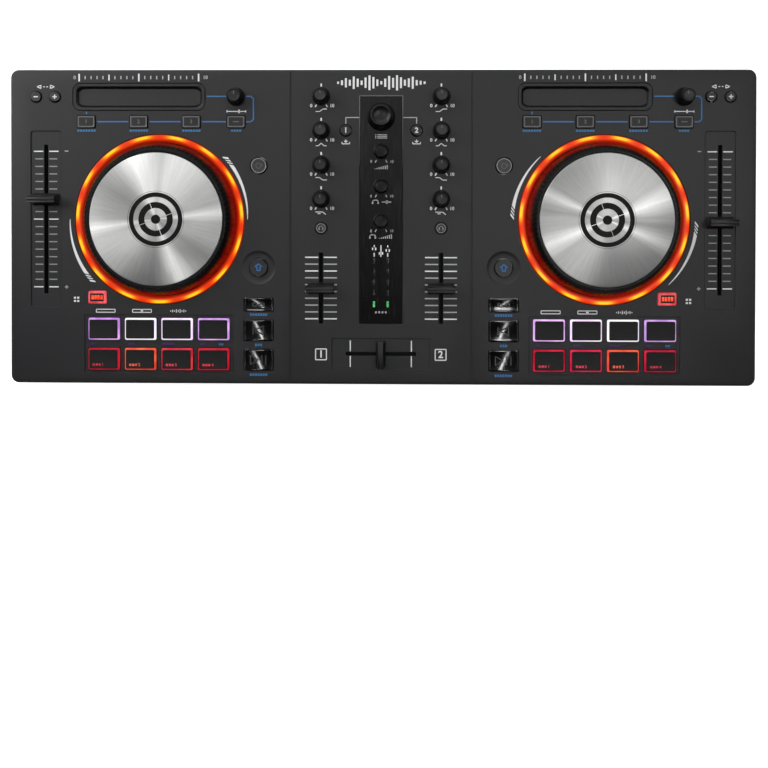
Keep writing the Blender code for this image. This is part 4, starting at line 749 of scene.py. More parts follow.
faces_of(effect_key, 1, lambda c, n: n.z > 0.8 and c.z > 0.0328 and from_edge(c) > -0.0013)
faces_of(effect_key, 2, lambda c, n: c.z < 0.0330 and n.z < 0.8)
shaded(effect_key, 40.0)
EFFECT_INK = (0.03296, 0.03304)
for name, side in DECKS:
    body = f"{name}_effect_mat"
    for number, place in enumerate(EFFECT_PLACES, 1):
        x = side * GROUP_X + place
        key = copied(effect_key, f"{name}_effect_key_{number}", x, EFFECT_ROW)
        fitted(key, body, [key_grey, key_frame, key_dark], [body])
        label = f"{name}_effect_mark_{number}"
        mark = (numeral(label, str(number), 3.8, *EFFECT_INK) if number < 4
                else strokes(label, [(-2.2, 0.0, 2.2, 0.0)], 0.8, *EFFECT_INK))
        fitted(moved(mark, x, EFFECT_ROW), body, [key_frame])
discard(effect_key)

# Round keys
# Gloss-black moulded caps on tact switches: pitch bend, wheel, shift, headphone and load keys.
# Their faces are a little paler than their sides, and the marks are printed on them.
key_gloss = grained("key_gloss_black", (240.0, 3.0), grey(0.0012), grey(0.0026), (0.045, 0.08),
                    (0.02, 0.000006), 0.4)
key_face = moulded("round_key_face", 0.017, 0.5, specular=0.35)
shift_face = moulded("shift_key_face", 0.007, 0.40, specular=0.35)
wheel_face = moulded("wheel_key_face", 0.014, 0.42, specular=0.4)
white_ink = dyed("legend_white", 0.74)
grey_ink = dyed("legend_grey", 0.24)
dim_ink = dyed("legend_dim", 0.085)
blue_ink = dyed("legend_blue", (0.012, 0.15, 0.42))
KEY_INK = (KEY_TOP - 0.00003, KEY_TOP + 0.00003)


def round_cap(label, face):
    """Turn a cap with its flange and plunger; the face starts inside a dark shoulder."""
    radius = ROUND_KEYS[label]
    rim = [(radius, 0.0292), (radius, 0.0326), (radius - 0.0002, 0.0330), (face + 0.0002, KEY_TOP),
           (face, KEY_TOP - 0.00005), (0.0, KEY_TOP)]
    plunger = [(0.0, 0.0261), (0.0016, 0.0261), (0.0016, 0.0282)]
    flange = [(radius - inset, height) for height, inset in FLANGE[:2]]
    cap = turned(f"{label}_cap", plunger + flange + eased(rim, 0.00015, 2), 56)
    faces_of(cap, 1, lambda c, n: n.z > 0.7 and c.z > 0.0329 and math.hypot(c.x, c.y) < face + 0.0001)
    return shaded(cap, 30.0)


def round_key(body, x, y, label, *materials):
    fitted(copied(caps[label], f"{body}_cap", x, y), body, materials, [body])


def marked(body, x, y, ink, *pieces, label="mark"):
    """Print a mark, made of these pieces, on the face of a key."""
    fitted(moved(joined(f"{body}_{label}", pieces), x, y), body, [ink])


FACES = {"bend": 0.0031, "wheel": 0.0049, "shift": 0.0060, "phones": 0.0034, "load": 0.0033}
caps = {label: round_cap(label, face) for label, face in FACES.items()}
for name, side in DECKS:
    for label, step in (("minus", -1), ("plus", 1)):
        key = f"{name}_pitch_{label}_button", side * PITCH_X + step * BEND_STEP, TOP_ROW
        round_key(*key, "bend", key_gloss, key_face)
        cross = [(-1.6, 0.0, 1.6, 0.0), (0.0, -1.6, 0.0, 1.6)]
        marked(*key, white_ink, strokes("sign", cross if step > 0 else cross[:1], 0.8, *KEY_INK))
    key = f"{name}_wheel_button", side * KEY_X, WHEEL_KEY_Y
    round_key(*key, "wheel", key_gloss, wheel_face)
    marked(*key, grey_ink, hoop(0.0050, 0.0055, *KEY_INK, 72), label="ring")
    hook = [(1.0, -0.1, 2.1, 1.2), (2.1, 1.2, 3.2, -0.1)]
    marked(*key, dim_ink, hoop(0.0017, 0.0022, *KEY_INK, 40), strokes("hook", hook, 0.6, *KEY_INK))
    key = f"{name}_shift_button", side * KEY_X, SHIFT_Y
    round_key(*key, "shift", key_gloss, shift_face)
    arrow = [(-2.6, 0.3, 0.0, 2.7), (0.0, 2.7, 2.6, 0.3), (-1.2, 0.5, -1.2, -2.2), (1.2, 0.5, 1.2, -2.2),
             (-1.2, -2.2, 1.2, -2.2)]
    marked(*key, blue_ink, strokes("arrow", arrow, 0.8, *KEY_INK))
    key = f"{name}_phones_button", side * LINE_X, PHONES_Y
    round_key(*key, "phones", shift_face)
    phones = [(-1.4, -1.3, -1.4, 0.3, 0.9), (1.4, -1.3, 1.4, 0.3, 0.9), (-1.4, 0.3, -0.8, 1.4),
              (-0.8, 1.4, 0.8, 1.4), (0.8, 1.4, 1.4, 0.3)]
    marked(*key, grey_ink, hoop(0.0030, 0.0034, *KEY_INK, 48), strokes("phones", phones, 0.4, *KEY_INK))
    key = f"{name}_load_button", side * LOAD_X, LOAD_Y
    round_key(*key, "load", key_gloss, shift_face)
    marked(*key, white_ink, numeral("digit", "1" if side < 0 else "2", 5.4, *KEY_INK))
discard(*caps.values())

# Square keys
# Sync, cue and play keys are gloss-black caps, hollowed a little like a dish so that the finger finds them.
# The pad mode key is a lit frame with a window in it.
KEY_HOLLOW = 0.0007


def hollow_at(x, y, length, depth):
    """The height of a dished top at a place on it."""
    u, v = min(abs(2 * x / length), 1.0), min(abs(2 * y / depth), 1.0)
    return KEY_TOP - KEY_HOLLOW * (1 - (u * u + v * v) / 2)


def pressed(name, columns, rows, place, thick):
    """A sheet drawn as a grid, each of its points put in place, and extruded to its thickness."""
    made = fresh(name)
    bpy.ops.mesh.delete(type="VERT")
    bpy.ops.mesh.primitive_grid_add(x_subdivisions=columns, y_subdivisions=rows, size=1.0)
    bpy.ops.object.mode_set(mode="OBJECT")
    for vertex in made.data.vertices:
        vertex.co = place(vertex.co.x, vertex.co.y)
    bpy.ops.object.mode_set(mode="EDIT")
    bpy.ops.mesh.select_all(action="SELECT")
    extruded(0.0, 0.0, thick)
    return made


def dished(name, length, depth):
    """A cap with a shallow dish for its top, extruded down to its flange, and its corners drawn in."""
    def place(along, across):
        x, y = along * length, across * depth
        if min(abs(along), abs(across)) > 0.49:
            x -= math.copysign(0.00028, x)
            y -= math.copysign(0.00028, y)
        return x, y, hollow_at(x, y, length, depth)

    cap = pressed("cap", 24, 16, place, -0.003)
    sized(1.0, 1.0, 0.0, (0.0, 0.0, 0.0290))
    closed()
    shaded(cap, 40.0, bevel=0.0003)
    flange = slab("flange", length, depth, 0.0009, FLANGE[:2], 2)
    return shaded(joined(name, [cap, flange]), 40.0)


def laid(mark, length, depth):
    """Cut a flat mark into short lengths and lay it in the dish."""
    chosen(mark)
    bpy.ops.object.mode_set(mode="EDIT")
    bpy.ops.mesh.select_all(action="SELECT")
    bpy.ops.mesh.subdivide(number_cuts=5)
    bpy.ops.object.mode_set(mode="OBJECT")
    for vertex in mark.data.vertices:
        vertex.co.z += hollow_at(vertex.co.x, vertex.co.y, length, depth) - KEY_TOP
    return mark


faint_ink = dyed("key_mark_faint", 0.028, 0.4, 0.3)
KEY_MARKS = {
    "sync": [(-4.2, 1.2, -1.2, 1.2), (-4.2, 1.2, -4.2, -1.2), (-4.2, -1.2, -1.2, -1.2), (1.2, 1.2, 4.2, 1.2),
             (4.2, 1.2, 4.2, -1.2), (1.2, -1.2, 4.2, -1.2), (-1.8, 0.0, 1.8, 0.0)],
    "cue": [(-4.0, 3.0, -4.0, -3.0), (3.6, 3.4, -2.6, 0.0), (-2.6, 0.0, 3.6, -3.4), (3.6, -3.4, 3.6, 3.4)],
    "play": [(-6.0, 3.4, -6.0, -3.4), (-6.0, 3.4, -0.4, 0.0), (-6.0, -3.4, -0.4, 0.0), (2.4, 3.4, 2.4, -3.4),
             (5.4, 3.4, 5.4, -3.4)],
}
for label, (length, depth, y) in SQUARE_KEYS.items():
    cap = dished(f"{label}_cap", length, depth)
    for name, side in DECKS:
        body = f"{name}_{label}_key"
        fitted(copied(cap, f"{body}_cap", side * KEY_X, y), body, [key_gloss], [body])
        mark = laid(strokes(f"{body}_mark", KEY_MARKS[label], 1.0, *KEY_INK), length, depth)
        fitted(moved(mark, side * KEY_X, y), body, [faint_ink])
    discard(cap)
mode_key = slab("mode_key", *SMALL_KEY, 0.0009, FLANGE + [
    (0.0326, 0.0), (0.0330, 0.0003), (KEY_TOP, 0.0005), (KEY_TOP, 0.0015), (0.0328, 0.0017),
    (0.0328, 0.0026)], 4)
faces_of(mode_key, 1, lambda c, n: from_edge(c) < -0.00155)
dashes = [slab("dash", 0.0017, 0.0032, 0.0003, [(0.0327, 0.0), (0.0330, 0.0), (KEY_TOP, 0.0002)], 2, x)
          for x in (-0.0033, -0.0011, 0.0011, 0.0033)]
mode_bar = joined("mode_bar", dashes)
for name, side in DECKS:
    body = f"{name}_pad_mode_key"
    pink = glowing(f"{name}_mode_frame_glow", (0.50, 0.03, 0.04), (0.82, 0.10, 0.12), 1.0, 120.0)
    ember = glowing(f"{name}_mode_bar_glow", (0.85, 0.02, 0.005), (1.0, 0.11, 0.02), 1.0, 420.0)
    frame_piece = shaded(copied(mode_key, f"{body}_frame", side * MODE_X, MODE_Y))
    fitted(frame_piece, body, [pink, key_dark], [body])
    fitted(shaded(copied(mode_bar, f"{body}_bar", side * MODE_X, MODE_Y)), body, [ember])
discard(mode_key, mode_bar)

# Knobs
# Fourteen moulded knobs, pushed on their D-shafts: fluted grips in soft-touch black round the mixer, and
# gloss ones on the centre strip. A fine line on the top shows where each one points, but for the browse knob.


def fluted(piece, flutes, depth, low, high):
    """Press upright flutes into the grip, fading out at its two ends."""
    for vertex in piece.data.vertices:
        if low < vertex.co.z < high and math.hypot(vertex.co.x, vertex.co.y) > 0.0042:
            angle = math.atan2(vertex.co.y, vertex.co.x)
            fade = min(1.0, (vertex.co.z - low) / 0.001, (high - vertex.co.z) / 0.001)
            share = 1 - fade * depth * (0.5 - 0.5 * math.cos(flutes * angle))
            vertex.co.x *= share
            vertex.co.y *= share
    return piece


KNOB_FOOT = [(0.0, 0.0408), (0.0033, 0.0408), (0.0033, 0.0326)]
FLUTES, FLUTES_LOW = 24, 0.0345


def knob(name, foot, top, rise, rim):
    """Turn a knob: bored foot, short skirt, fluted grip that leans in, and a dished top with a round rim."""
    high, skirt, dish = PANEL_TOP + rise, foot - 0.0006, 0.0002
    profile = KNOB_FOOT + [(foot, 0.0326), (foot, 0.0340), (skirt, 0.0342)]
    profile += [(skirt + (top - skirt) * t, FLUTES_LOW + (high - rim - FLUTES_LOW) * t)
                for t in (0.0, 0.25, 0.5, 0.75, 1.0)]
    profile += [(top - rim * 0.5, high), (top - rim * 1.5, high), (top - rim * 2.2, high - dish),
                (0.0, high - dish * 1.5)]
    made = turned(name, eased(profile, 0.0002, 2), 4 * FLUTES)
    faces_of(made, 1, lambda c, n: c.z > high - dish * 2 - 0.0001 and math.hypot(c.x, c.y) < top - rim * 1.5)
    return shaded(fluted(made, FLUTES, 0.035, FLUTES_LOW, high - rim), 30.0)


knob_rubber = moulded("knob_rubber", 0.0022, 0.5, specular=0.16, grain=3000.0)
knob_crown = moulded("knob_crown", 0.008, 0.40, specular=0.4, grain=3600.0)
# A darker copy of the crown: the parameter knobs' own darker top, and painted shade on the front rows of EQ
# knobs.
dark_and_shaded_crown = moulded("knob_crown_low", 0.0035, 0.38, specular=0.3, grain=3600.0)
gain_gloss = moulded("knob_gloss", 0.0016, 0.30, specular=0.15, grain=2600.0, depth=0.000002)
browse_face = moulded("browse_face", 0.0045, 0.32, specular=0.25, grain=2600.0)
pointer_ink = dyed("knob_pointer", 0.11)
CHANNEL_KNOBS, CHANNEL_Y, CHANNEL_STEP = ("treble", "mid", "bass", "filter"), 0.09655, 0.02525
channel = knob("channel_knob", 0.0066, 0.0050, 0.0118, 0.0009)
gain = knob("gain_knob", 0.0057, 0.0047, 0.0105, 0.0004)
parameter = knob("parameter_knob", 0.00675, 0.0053, 0.0118, 0.0009)
soft = (knob_rubber, pointer_ink, 0.0118)
# Treble and mid knobs take the paler crown; bass and filter knobs take the darker one as painted shade.
placed = [(f"{name}_{label}_knob", channel, side * LINE_X, CHANNEL_Y - CHANNEL_STEP * row,
           knob_crown if row < 2 else dark_and_shaded_crown, *soft)
          for name, side in DECKS for row, label in enumerate(CHANNEL_KNOBS)]
placed += [(f"{label}_knob", gain, 0.0, y, gain_gloss, gain_gloss, knob_crown, 0.0105)
           for label, y in CENTRE_KNOBS.items() if label != "browse"]
placed += [(f"{name}_parameter_knob", parameter, side * GROUP_X + EFFECT_PLACES[3], TOP_ROW, dark_and_shaded_crown, *soft)
           for name, side in DECKS]
for body, template, x, y, crown, grip, ink, rise in placed:
    fitted(copied(template, f"{body}_grip", x, y), body, [grip, crown], [body])
    top = PANEL_TOP + rise
    line = strokes(f"{body}_line", [(0.0, 0.8, 0.0, 3.0)], 0.5, top - 0.0004, top - 0.0001)
    fitted(moved(line, x, y), body, [ink])
discard(channel, gain, parameter)
browse_profile = KNOB_FOOT + [
    (0.01035, 0.0326), (0.01035, 0.0340), (0.0098, 0.0343), (0.0095, 0.0350), (0.0091, 0.0378),
    (0.0086, 0.0405), (0.0079, 0.0432), (0.0074, 0.0442), (0.0069, 0.0444), (0.0064, 0.0442),
    (0.0055, 0.0436), (0.0040, 0.0431), (0.0020, 0.04285), (0.0, 0.0428)]
browse = turned("browse_grip", eased(browse_profile, 0.0003, 2), 144)
faces_of(browse, 1, lambda c, n: c.z > 0.0420 and math.hypot(c.x, c.y) < 0.0073)
shaded(fluted(browse, 36, 0.022, 0.0346, 0.0432), 30.0)
fitted(moved(browse, 0.0, CENTRE_KNOBS["browse"]), "browse_knob", [knob_rubber, browse_face],
       ["browse_knob"])

# Fader caps
# Five moulded caps, pressed on the levers that stand up out of the slots. A wide finger bar with three
# ridges sits on a narrow waist, over a foot that hides the slot.
cap_black = moulded("fader_cap_black", 0.0038, 0.40, specular=0.35, grain=2400.0)
# The ridge tops: a paler copy of the cap plastic as a painted highlight, with a real higher sheen.
painted_ridge_highlight = moulded("fader_cap_ridge", 0.010, 0.38, specular=0.5, grain=2400.0)
CAP_LENGTH = 0.0205
CAP_SHAPE = ((0.30, 0.74, 0.62), (0.46, 0.66, 0.50), (0.60, 0.74, 0.46), (0.72, 0.90, 0.52),
             (0.80, 0.99, 0.60))


def fader_cap(body, x, y, depth, rise, sink, turn=0.0):
    low, high = PANEL_TOP - sink + 0.0006, PANEL_TOP + rise
    foot = [(low, 0.96 * CAP_LENGTH, depth), (low + 0.0008, 0.96 * CAP_LENGTH, depth),
            (low + 0.0014, 0.90 * CAP_LENGTH, 0.86 * depth)]
    bar = [(low + share * (high - low), length * CAP_LENGTH, width * depth)
           for share, length, width in CAP_SHAPE]
    top = [(high - 0.0004, CAP_LENGTH, 0.62 * depth), (high, CAP_LENGTH - 0.0008, 0.62 * depth - 0.0006)]
    cap = lofted(f"{body}_cap", foot + bar + top, 0.0007, 3)
    groove = [(high - 0.0008, 0.0), (high + 0.001, -0.0002)]
    carve(cap, [moved(slab("groove", CAP_LENGTH + 0.002, 0.18 * depth, 0.0, groove), y=place * 0.155 * depth)
                for place in (-1, 1)])
    # The top faces of the finger bar take the painted highlight.
    faces_of(cap, 1, lambda c, n: n.z > 0.5 and c.z > high - 0.0003)
    lever = slab("lever", 0.0012, 0.0040, 0.0, [(0.0238, 0.0), (low + 0.001, 0.0)])
    cap = joined(f"{body}_cap", [shaded(cap, 38.0, bevel=0.00015), lever])
    fitted(shaded(moved(cap, x, y, turn=turn), 38.0), body, [cap_black, painted_ridge_highlight], [body])


for (name, side), pitch_y in zip(DECKS, (0.02025, 0.00385)):
    fader_cap(f"{name}_pitch_cap", side * PITCH_X, pitch_y, 0.0088, 0.0125, 0.001)
    fader_cap(f"{name}_line_cap", side * LINE_X, LINE_Y, 0.0084, 0.0118, 0.0)
fader_cap("crossfader_cap", 0.0, CROSS_Y, 0.0070, 0.0110, 0.0008, math.pi / 2)

# Panel printing
# Scales, lines and pictures are screen-printed on the panel in white, grey and blue, and cured hard.
# They stand a few hundredths of a millimetre above it; plain numbers and pictures take the place of words.


def printed(name, ink, lines, width=0.6, numbers=(), level=PANEL_TOP):
    """Print lines and numbers, given in millimetres, at a level of the panel."""
    ink_levels = (level - 0.00002, level + 0.00003)
    pieces = [moved(numeral("number", text, size, *ink_levels), x / 1000, y / 1000)
              for text, x, y, size in numbers]
    if lines:
        pieces.append(strokes("lines", lines, width, *ink_levels))
    fitted(joined(name, pieces), "housing", [ink])


def at(picture, x, y):
    """The picture's lines, moved to a place on the panel."""
    return [(x0 + x, y0 + y, x1 + x, y1 + y, *own) for x0, y0, x1, y1, *own in picture]


def mirrored(picture):
    return [(-x0, y0, -x1, y1, *own) for x0, y0, x1, y1, *own in picture]


def box(x, y, *own):
    return [(-x, y, x, y, *own), (x, y, x, -y, *own), (x, -y, -x, -y, *own), (-x, -y, -x, y, *own)]


def squares(count, pitch, half, bar, x=0.0, y=0.0):
    """A row of small blocks about a place."""
    spots = [x + (place - (count - 1) / 2) * pitch for place in range(count)]
    return [(spot, y - half, spot, y + half, bar) for spot in spots]


def wave(pitch, width, heights):
    """A row of upright bars, like a sound wave."""
    first = -(len(heights) // 2)
    return [(step * pitch, -height, step * pitch, height, width)
            for step, height in enumerate(heights, first)]


EAR_LEFT = [(-2.0, -0.2, -2.0, 0.5), (-2.0, 0.5, -1.2, 1.4), (-2.0, -1.4, -2.0, 0.1, 1.1)]
PHONES_PICTURE = EAR_LEFT + mirrored(EAR_LEFT) + [(-1.2, 1.4, 1.2, 1.4)]
SHELF_PICTURE = [(-4.2, -0.9, -1.2, -0.9), (-1.2, -0.9, 1.2, 0.9), (1.2, 0.9, 4.2, 0.9)]
HALF_BELL = [(-4.0, -0.9, -2.0, -0.9), (-2.0, -0.9, 0.0, 1.0)]
PASS_PICTURE = [(-4.2, 0.7, 1.2, 0.7), (1.2, 0.7, 3.4, -1.1), (-2.6, -0.5, -0.4, -0.5)]
WEDGE_PICTURE = [(step * 1.5 - 4.5, -1.4, step * 1.5 - 4.5, step * 0.45 - 1.0, 0.8) for step in range(7)]
LIST_PICTURE = [line for row in (-1.2, 0.0, 1.2) for line in ((-4.4, row, -3.6, row), (-2.8, row, 4.4, row))]
LOAD_PICTURE = [(0.0, 1.7, 0.0, -0.3), (-1.2, 0.8, 0.0, -0.4), (1.2, 0.8, 0.0, -0.4), (-2.8, -1.4, 2.8, -1.4),
                (-2.8, -1.4, -2.8, 0.0), (2.8, -1.4, 2.8, 0.0)]
SLIDER_PICTURE = [(-7.0, 0.0, 7.0, 0.0), (2.0, -1.2, 2.0, 1.2, 1.2), (-7.0, -0.8, -7.0, 0.8),
                  (7.0, -0.8, 7.0, 0.8)]
BEND_RIGHT = [(6.5, 0.0, 3.5, 1.2), (6.5, 0.0, 3.5, -1.2), (3.5, 1.2, 3.5, -1.2), (0.6, 0.0, 1.8, 0.0)]
LOOP_PICTURE = box(7.0, 1.1)
GRID_PICTURE = squares(2, 2.4, 0.7, 1.6, y=-1.2) + squares(2, 2.4, 0.7, 1.6, y=1.2)
WAVE_PICTURE = wave(1.4, 0.6, (0.4, 0.9, 0.5, 1.3, 0.8, 1.4, 0.6, 1.0, 0.4))
TITLE_WAVE = (0.9, 1.8, 3.4, 2.2, 4.6, 3.0, 1.6, 3.8, 5.4, 4.2, 2.4, 1.2, 3.0, 5.0, 3.6, 5.6, 4.0, 2.2,
              3.2, 4.4, 2.0, 1.4, 0.9)
DIAL_ENDS = ((-3.5, -6.1, -4.5, -7.9), (3.5, -6.1, 4.5, -7.9))
KNOB_PICTURES = (SHELF_PICTURE, HALF_BELL + mirrored(HALF_BELL), mirrored(SHELF_PICTURE), PASS_PICTURE)
PAD_PICTURES = ((-39.6, LOOP_PICTURE), (-12.6, LOOP_PICTURE + [(-0.9, 0.0, 0.9, 0.0, 1.0)]),
                (14.4, WAVE_PICTURE))
white, soft, fine, blue, violet, numbers, small = [], [], [], [], [], [], []
for name, side in DECKS:
    pitch, line, key, load, pads = (side * x * 1000 for x in (PITCH_X, LINE_X, KEY_X, LOAD_X, PAD_X))
    effects = [side * GROUP_X * 1000 + place * 1000 for place in EFFECT_PLACES]
    touch, turn = effects[1], effects[3]
    for step in range(21):
        half, bar = (2.8, 1.1) if step in (0, 10, 20) else (2.1, 0.9) if step % 5 == 0 else (1.2, 0.8)
        x = touch - 44.4 + step * 4.44
        (soft if step % 5 else white).append((x, 110.4 - half, x, 110.4 + half, bar))
    small += [("0", touch - 47.8, 110.4, 3.6), ("10", touch + 49.4, 110.4, 3.6)]
    blue += [(touch + 50.4, 96.5, turn - 7.4, 96.5), (touch + 47.0, 77.8, turn - 7.6, 77.8),
             (touch - 31.0, 77.8, touch - 8.0, 77.8), (touch + 8.0, 77.8, touch + 31.0, 77.8),
             (touch - 39.0, 83.2, touch - 39.0, 85.2)]
    blue += at([(7.4, 96.5, 11.2, 96.5), (11.0, 96.45, 12.8, 94.8), (12.8, 95.0, 12.8, 79.3),
                (12.8, 79.5, 11.0, 77.85), (11.2, 77.8, 7.6, 77.8)], turn, 0.0)
    for x, count in zip(effects, (7, 7, 7, 4)):
        blue += squares(count, 2.0, 0.8, 1.5, x, 71.2)
    for count, y in ((7, -64.9), (3, -87.3), (7, -109.4)):
        blue += squares(count, 1.9, 0.9, 1.4, key, y)
    blue += squares(2, 1.8, 0.8, 1.4, pads + 46.3, -87.0)
    violet += [(pads + x - run / 2, -86.95, pads + x + run / 2, -86.95, 1.1)
               for x, run in ((-49.0, 3.2), (-20.6, 4.6), (7.2, 9.0), (32.6, 3.6))]
    white += at(SLIDER_PICTURE, turn + 0.2, 85.4) + at(BEND_RIGHT + mirrored(BEND_RIGHT), pitch, 103.6)
    white += at(GRID_PICTURE, side * 226.0, -54.0) + at(LOAD_PICTURE, load, 62.9)
    soft += at([(-1.3, 56.0, 1.3, 56.0), (-1.3, -44.8, 1.3, -44.8), (0.0, -46.1, 0.0, -43.5)],
               side * 233.4, 0.0)
    for x, picture in PAD_PICTURES:
        white += at(picture, pads + x, -62.4)
    for row, picture in enumerate(KNOB_PICTURES):
        y = (CHANNEL_Y - CHANNEL_STEP * row) * 1000
        white += at([(0.0, 7.2, 0.0, 9.4, 1.1)] + [(*tick, 0.9) for tick in DIAL_ENDS], line, y)
        white += at(picture, line, y - 10.3)
        numbers += [("0", line - 7.4, y - 7.0, 3.4), ("10", line + 8.0, y - 7.0, 3.4)]
    soft += [(side * 15.8, 80.9, load, 80.9), (load, 81.2, load, 76.2)]
    fine.append((side * 15.9, 96.9, side * 15.9, 46.0))
    for step in range(10):
        y = -22.3 - step * 5.05
        ticks = [(line + inner * 2.0, y, line + inner * 11.8, y, 0.9) for inner in (-1, 1)]
        (white if step in (0, 2, 9) else soft).extend(ticks)
    white += at(box(4.0, 4.0, 0.75), side * 44.2, -94.1)
    numbers.append(("1" if side < 0 else "2", side * 44.2, -94.1, 7.4))
white += at(wave(2.9, 1.5, TITLE_WAVE), 0.0, 106.5)
white += at([(x, -4.2, x, 4.2, 0.8) for x in (-5.0, 0.0, 5.0)]
            + [(-6.6, 1.5, -3.4, 1.5, 1.8), (-1.6, -1.8, 1.6, -1.8, 1.8), (3.4, 0.4, 6.6, 0.4, 1.8)],
            0.0, -17.5)
soft += at(LIST_PICTURE, 0.0, 67.0) + at(WEDGE_PICTURE, 0.0, 44.2)
soft += at(PHONES_PICTURE, -4.2, 18.6) + at([(0.5, 0.0, 7.5, 0.0), (4.2, -1.2, 4.2, 1.2, 1.2)], 0.0, 18.6)
soft += at(PHONES_PICTURE, -6.2, -7.0) + at(WEDGE_PICTURE, 3.2, -7.0) + squares(4, 2.4, 0.7, 1.3, y=-62.8)
for y in (56.05, 30.45, 4.85):
    soft += at([(-3.4, -6.5, -4.4, -8.3, 0.8), (3.4, -6.5, 4.4, -8.3, 0.8)], 0.0, y)
    small += [("0", -7.4, y - 7.6, 2.7), ("10", 7.8, y - 7.6, 2.7)]
fading = grained("legend_fading", (2400.0, 2.0), grey(0.0105), grey(0.15), (0.45, 0.55),
                 (0.05, 0.000004), 0.4,
                 lambda place, screen: place.axis("Y").step(0.048, 0.092))
printed("print_white", white_ink, white, 0.6, numbers)
printed("print_soft", dyed("legend_soft", 0.38), soft, 0.7, small)
printed("print_fine", fading, fine + [(-15.9, 96.9, 15.9, 96.9)], 0.45)
printed("print_blue", dyed("legend_line_blue", (0.028, 0.14, 0.34)), blue, 0.9)
printed("print_violet", dyed("legend_violet", (0.055, 0.012, 0.14), specular=0.3), violet)

RING_BANDS = {"left": ((0, 43.6, 65.2, 67.0), (180, 223.2, 66.7, 68.0)),
              "right": ((-45, -1.8, 67.0, 67.7), (135, 178.6, 66.0, 67.5))}
BAND_SLANT = 0.0179


def on_band(side, band, share, out):
    """A point on a band round the ring, from its share of the way along and how far it lies out."""
    thin, thick, inner, outer = band
    angle = math.radians(thin + (thick - thin) * share) - out * BAND_SLANT
    radius = inner + (outer - inner) * share + out
    return side * JOG_X * 1000 + radius * math.cos(angle), JOG_Y * 1000 + radius * math.sin(angle)


def swoosh(side, band):
    """A band that swells from nothing and ends aslant."""
    def place(along, across):
        share = along + 0.5
        x, y = on_band(side, band, share, across * (0.3 + 2.4 * share ** 0.7))
        return x / 1000, y / 1000, PANEL_TOP - 0.00002

    made = pressed("band", 28, 1, place, 0.00005)
    closed()
    return made


for name, side in DECKS:
    strong, weak = [], []
    for step in range(19):
        half, y = 9.2 if step in (0, 9, 18) else 8.15, 55.9 - step * 5.594
        ticks = at([(inner * 2.2, y, inner * half, y, 0.8) for inner in (-1, 1)], side * PITCH_X * 1000, 0.0)
        (weak if step % 9 else strong).extend(ticks)
    printed(f"{name}_pitch_scale", white_ink, strong, level=PANEL_TOP - 0.001)
    printed(f"{name}_pitch_steps", grey_ink, weak, level=PANEL_TOP - 0.001)
    bands = joined(f"{name}_ring_bands", [swoosh(side, band) for band in RING_BANDS[name]])
    fitted(bands, "housing", [white_ink])
    slashes = [(*on_band(side, band, share, -1.8), *on_band(side, band, share, 1.8))
               for band in RING_BANDS[name] for share in (0.865, 0.91, 0.955)]
    printed(f"{name}_ring_slashes", panel_plastic, slashes, 0.75, level=PANEL_TOP + 0.00003)
cross = [(x, y, x, y + 8.0, 0.75) for x in (-22.6, 22.6) for y in (-103.4, -91.9)]
printed("crossfader_scale", white_ink, cross, level=PANEL_TOP - 0.0008)

# Studio
# A pale floor under a soft overhead light from the rear left, and the camera straight above.
# The lamps grade the light from the rear edge to the front one.
floor_paint = bpy.data.materials.new("floor_paint")
floor_paint.use_nodes = True
tree = floor_paint.node_tree
tree.nodes.clear()
blank = Wire(tree)
paint = blank.node("ShaderNodeBsdfDiffuse", None, {"Color": (0.82, 0.82, 0.82, 1.0)})
camera_ray, glossy_ray, clear_ray = (blank.node("ShaderNodeLightPath", output=name) for name in (
    "Is Camera Ray", "Is Glossy Ray", "Is Transmission Ray"))
seen = blank.maths("MAXIMUM", blank.maths("MAXIMUM", camera_ray, glossy_ray), clear_ray)
glow = blank.node("ShaderNodeEmission", None, {"Color": (1.0, 1.0, 1.0, 1.0), "Strength": 0.86})
lit = blank.node("ShaderNodeAddShader", None, {0: paint, 1: glow})
mixed = blank.node("ShaderNodeMixShader", None, {0: seen, 1: paint, 2: lit})
tree.links.new(mixed.socket, tree.nodes.new("ShaderNodeOutputMaterial").inputs["Surface"])
bpy.ops.object.select_all(action="DESELECT")
bpy.ops.mesh.primitive_plane_add(size=6.0, location=(0.0, 0.0, 0.0))
floor = bpy.context.object
floor.name = "studio_floor"
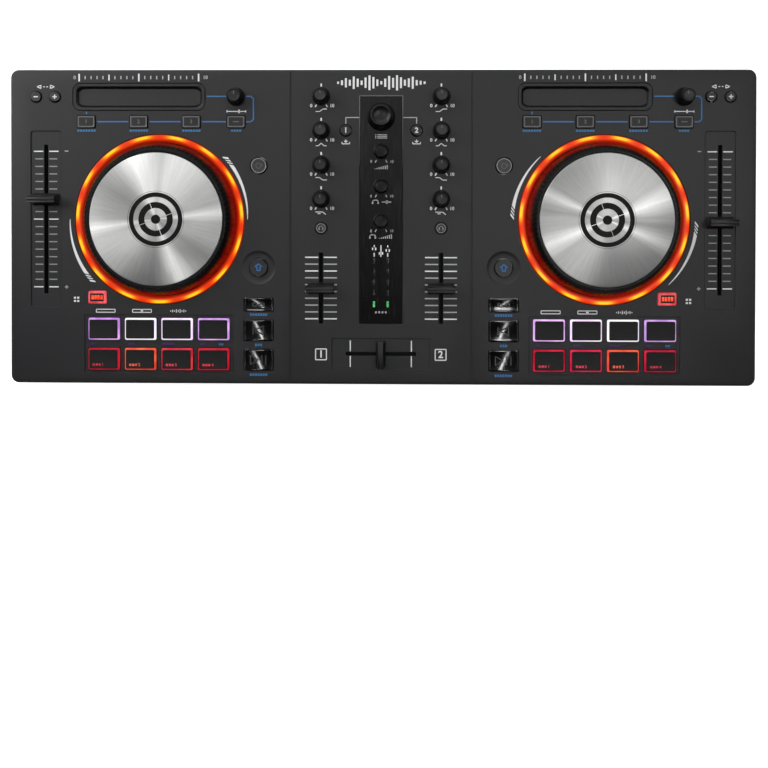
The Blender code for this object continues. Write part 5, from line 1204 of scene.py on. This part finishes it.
floor.data.materials.append(floor_paint)

world = bpy.data.worlds.new("studio_sky")
bpy.context.scene.world = world
world.use_nodes = True
toward_rear = Wire(world.node_tree).node("ShaderNodeTexCoord", output="Generated").axis("Y")
shade = toward_rear.step(-0.14, 0.26, 0.03, 0.56).blend((0.0, 0.0, 0.0), (1.0, 1.0, 1.0))
background = world.node_tree.nodes["Background"]
world.node_tree.links.new(shade.socket, background.inputs["Color"])
background.inputs["Strength"].default_value = 1.0


def lamp(name, place, size, power, turn=(0.0, 0.0, 0.0), spread=180.0):
    """A rectangular lamp; its turn and spread are in degrees."""
    data = bpy.data.lights.new(name, "AREA")
    data.shape = "RECTANGLE"
    data.size, data.size_y = size
    data.energy = power
    data.spread = math.radians(spread)
    made = bpy.data.objects.new(name, data)
    made.location = place
    made.rotation_euler = [math.radians(angle) for angle in turn]
    bpy.context.collection.objects.link(made)


lamp("rear_softbox", (-0.25, 0.64, 0.64), (1.2, 0.5), 3.0, (-45, 0, 0))
lamp("left_softbox", (-0.72, 0.36, 0.52), (0.5, 0.6), 4.4, (0, -50, 0))
lamp("rear_left_spot", (-0.236, 0.170, 1.20), (0.14, 0.14), 0.75)
lamp("right_spot", (0.219, 0.020, 1.20), (0.14, 0.14), 1.0)
lamp("rear_right_spot", (0.580, 0.120, 1.20), (0.12, 0.12), 1.9)
lamp("left_strip_light", (-0.291, -0.261, 1.433), (0.56, 0.018), 0.10, (0, 0, -79), 50.0)
lamp("right_strip_light", (0.2345, -0.261, 1.433), (0.56, 0.018), 0.10, (0, 0, 79), 50.0)

camera_data = bpy.data.cameras.new("camera")
camera_data.sensor_width = 36.0
camera_data.lens = 46.71
camera_data.shift_y = -0.198
camera_data.clip_start = 0.01
camera = bpy.data.objects.new("camera", camera_data)
camera.location = (0.01537, 0.00415, 0.7673)
camera.rotation_euler = (-0.0103, 0.0179, 0.0020)
bpy.context.collection.objects.link(camera)
bpy.context.scene.camera = camera
bpy.context.scene.view_settings.view_transform = "Standard"
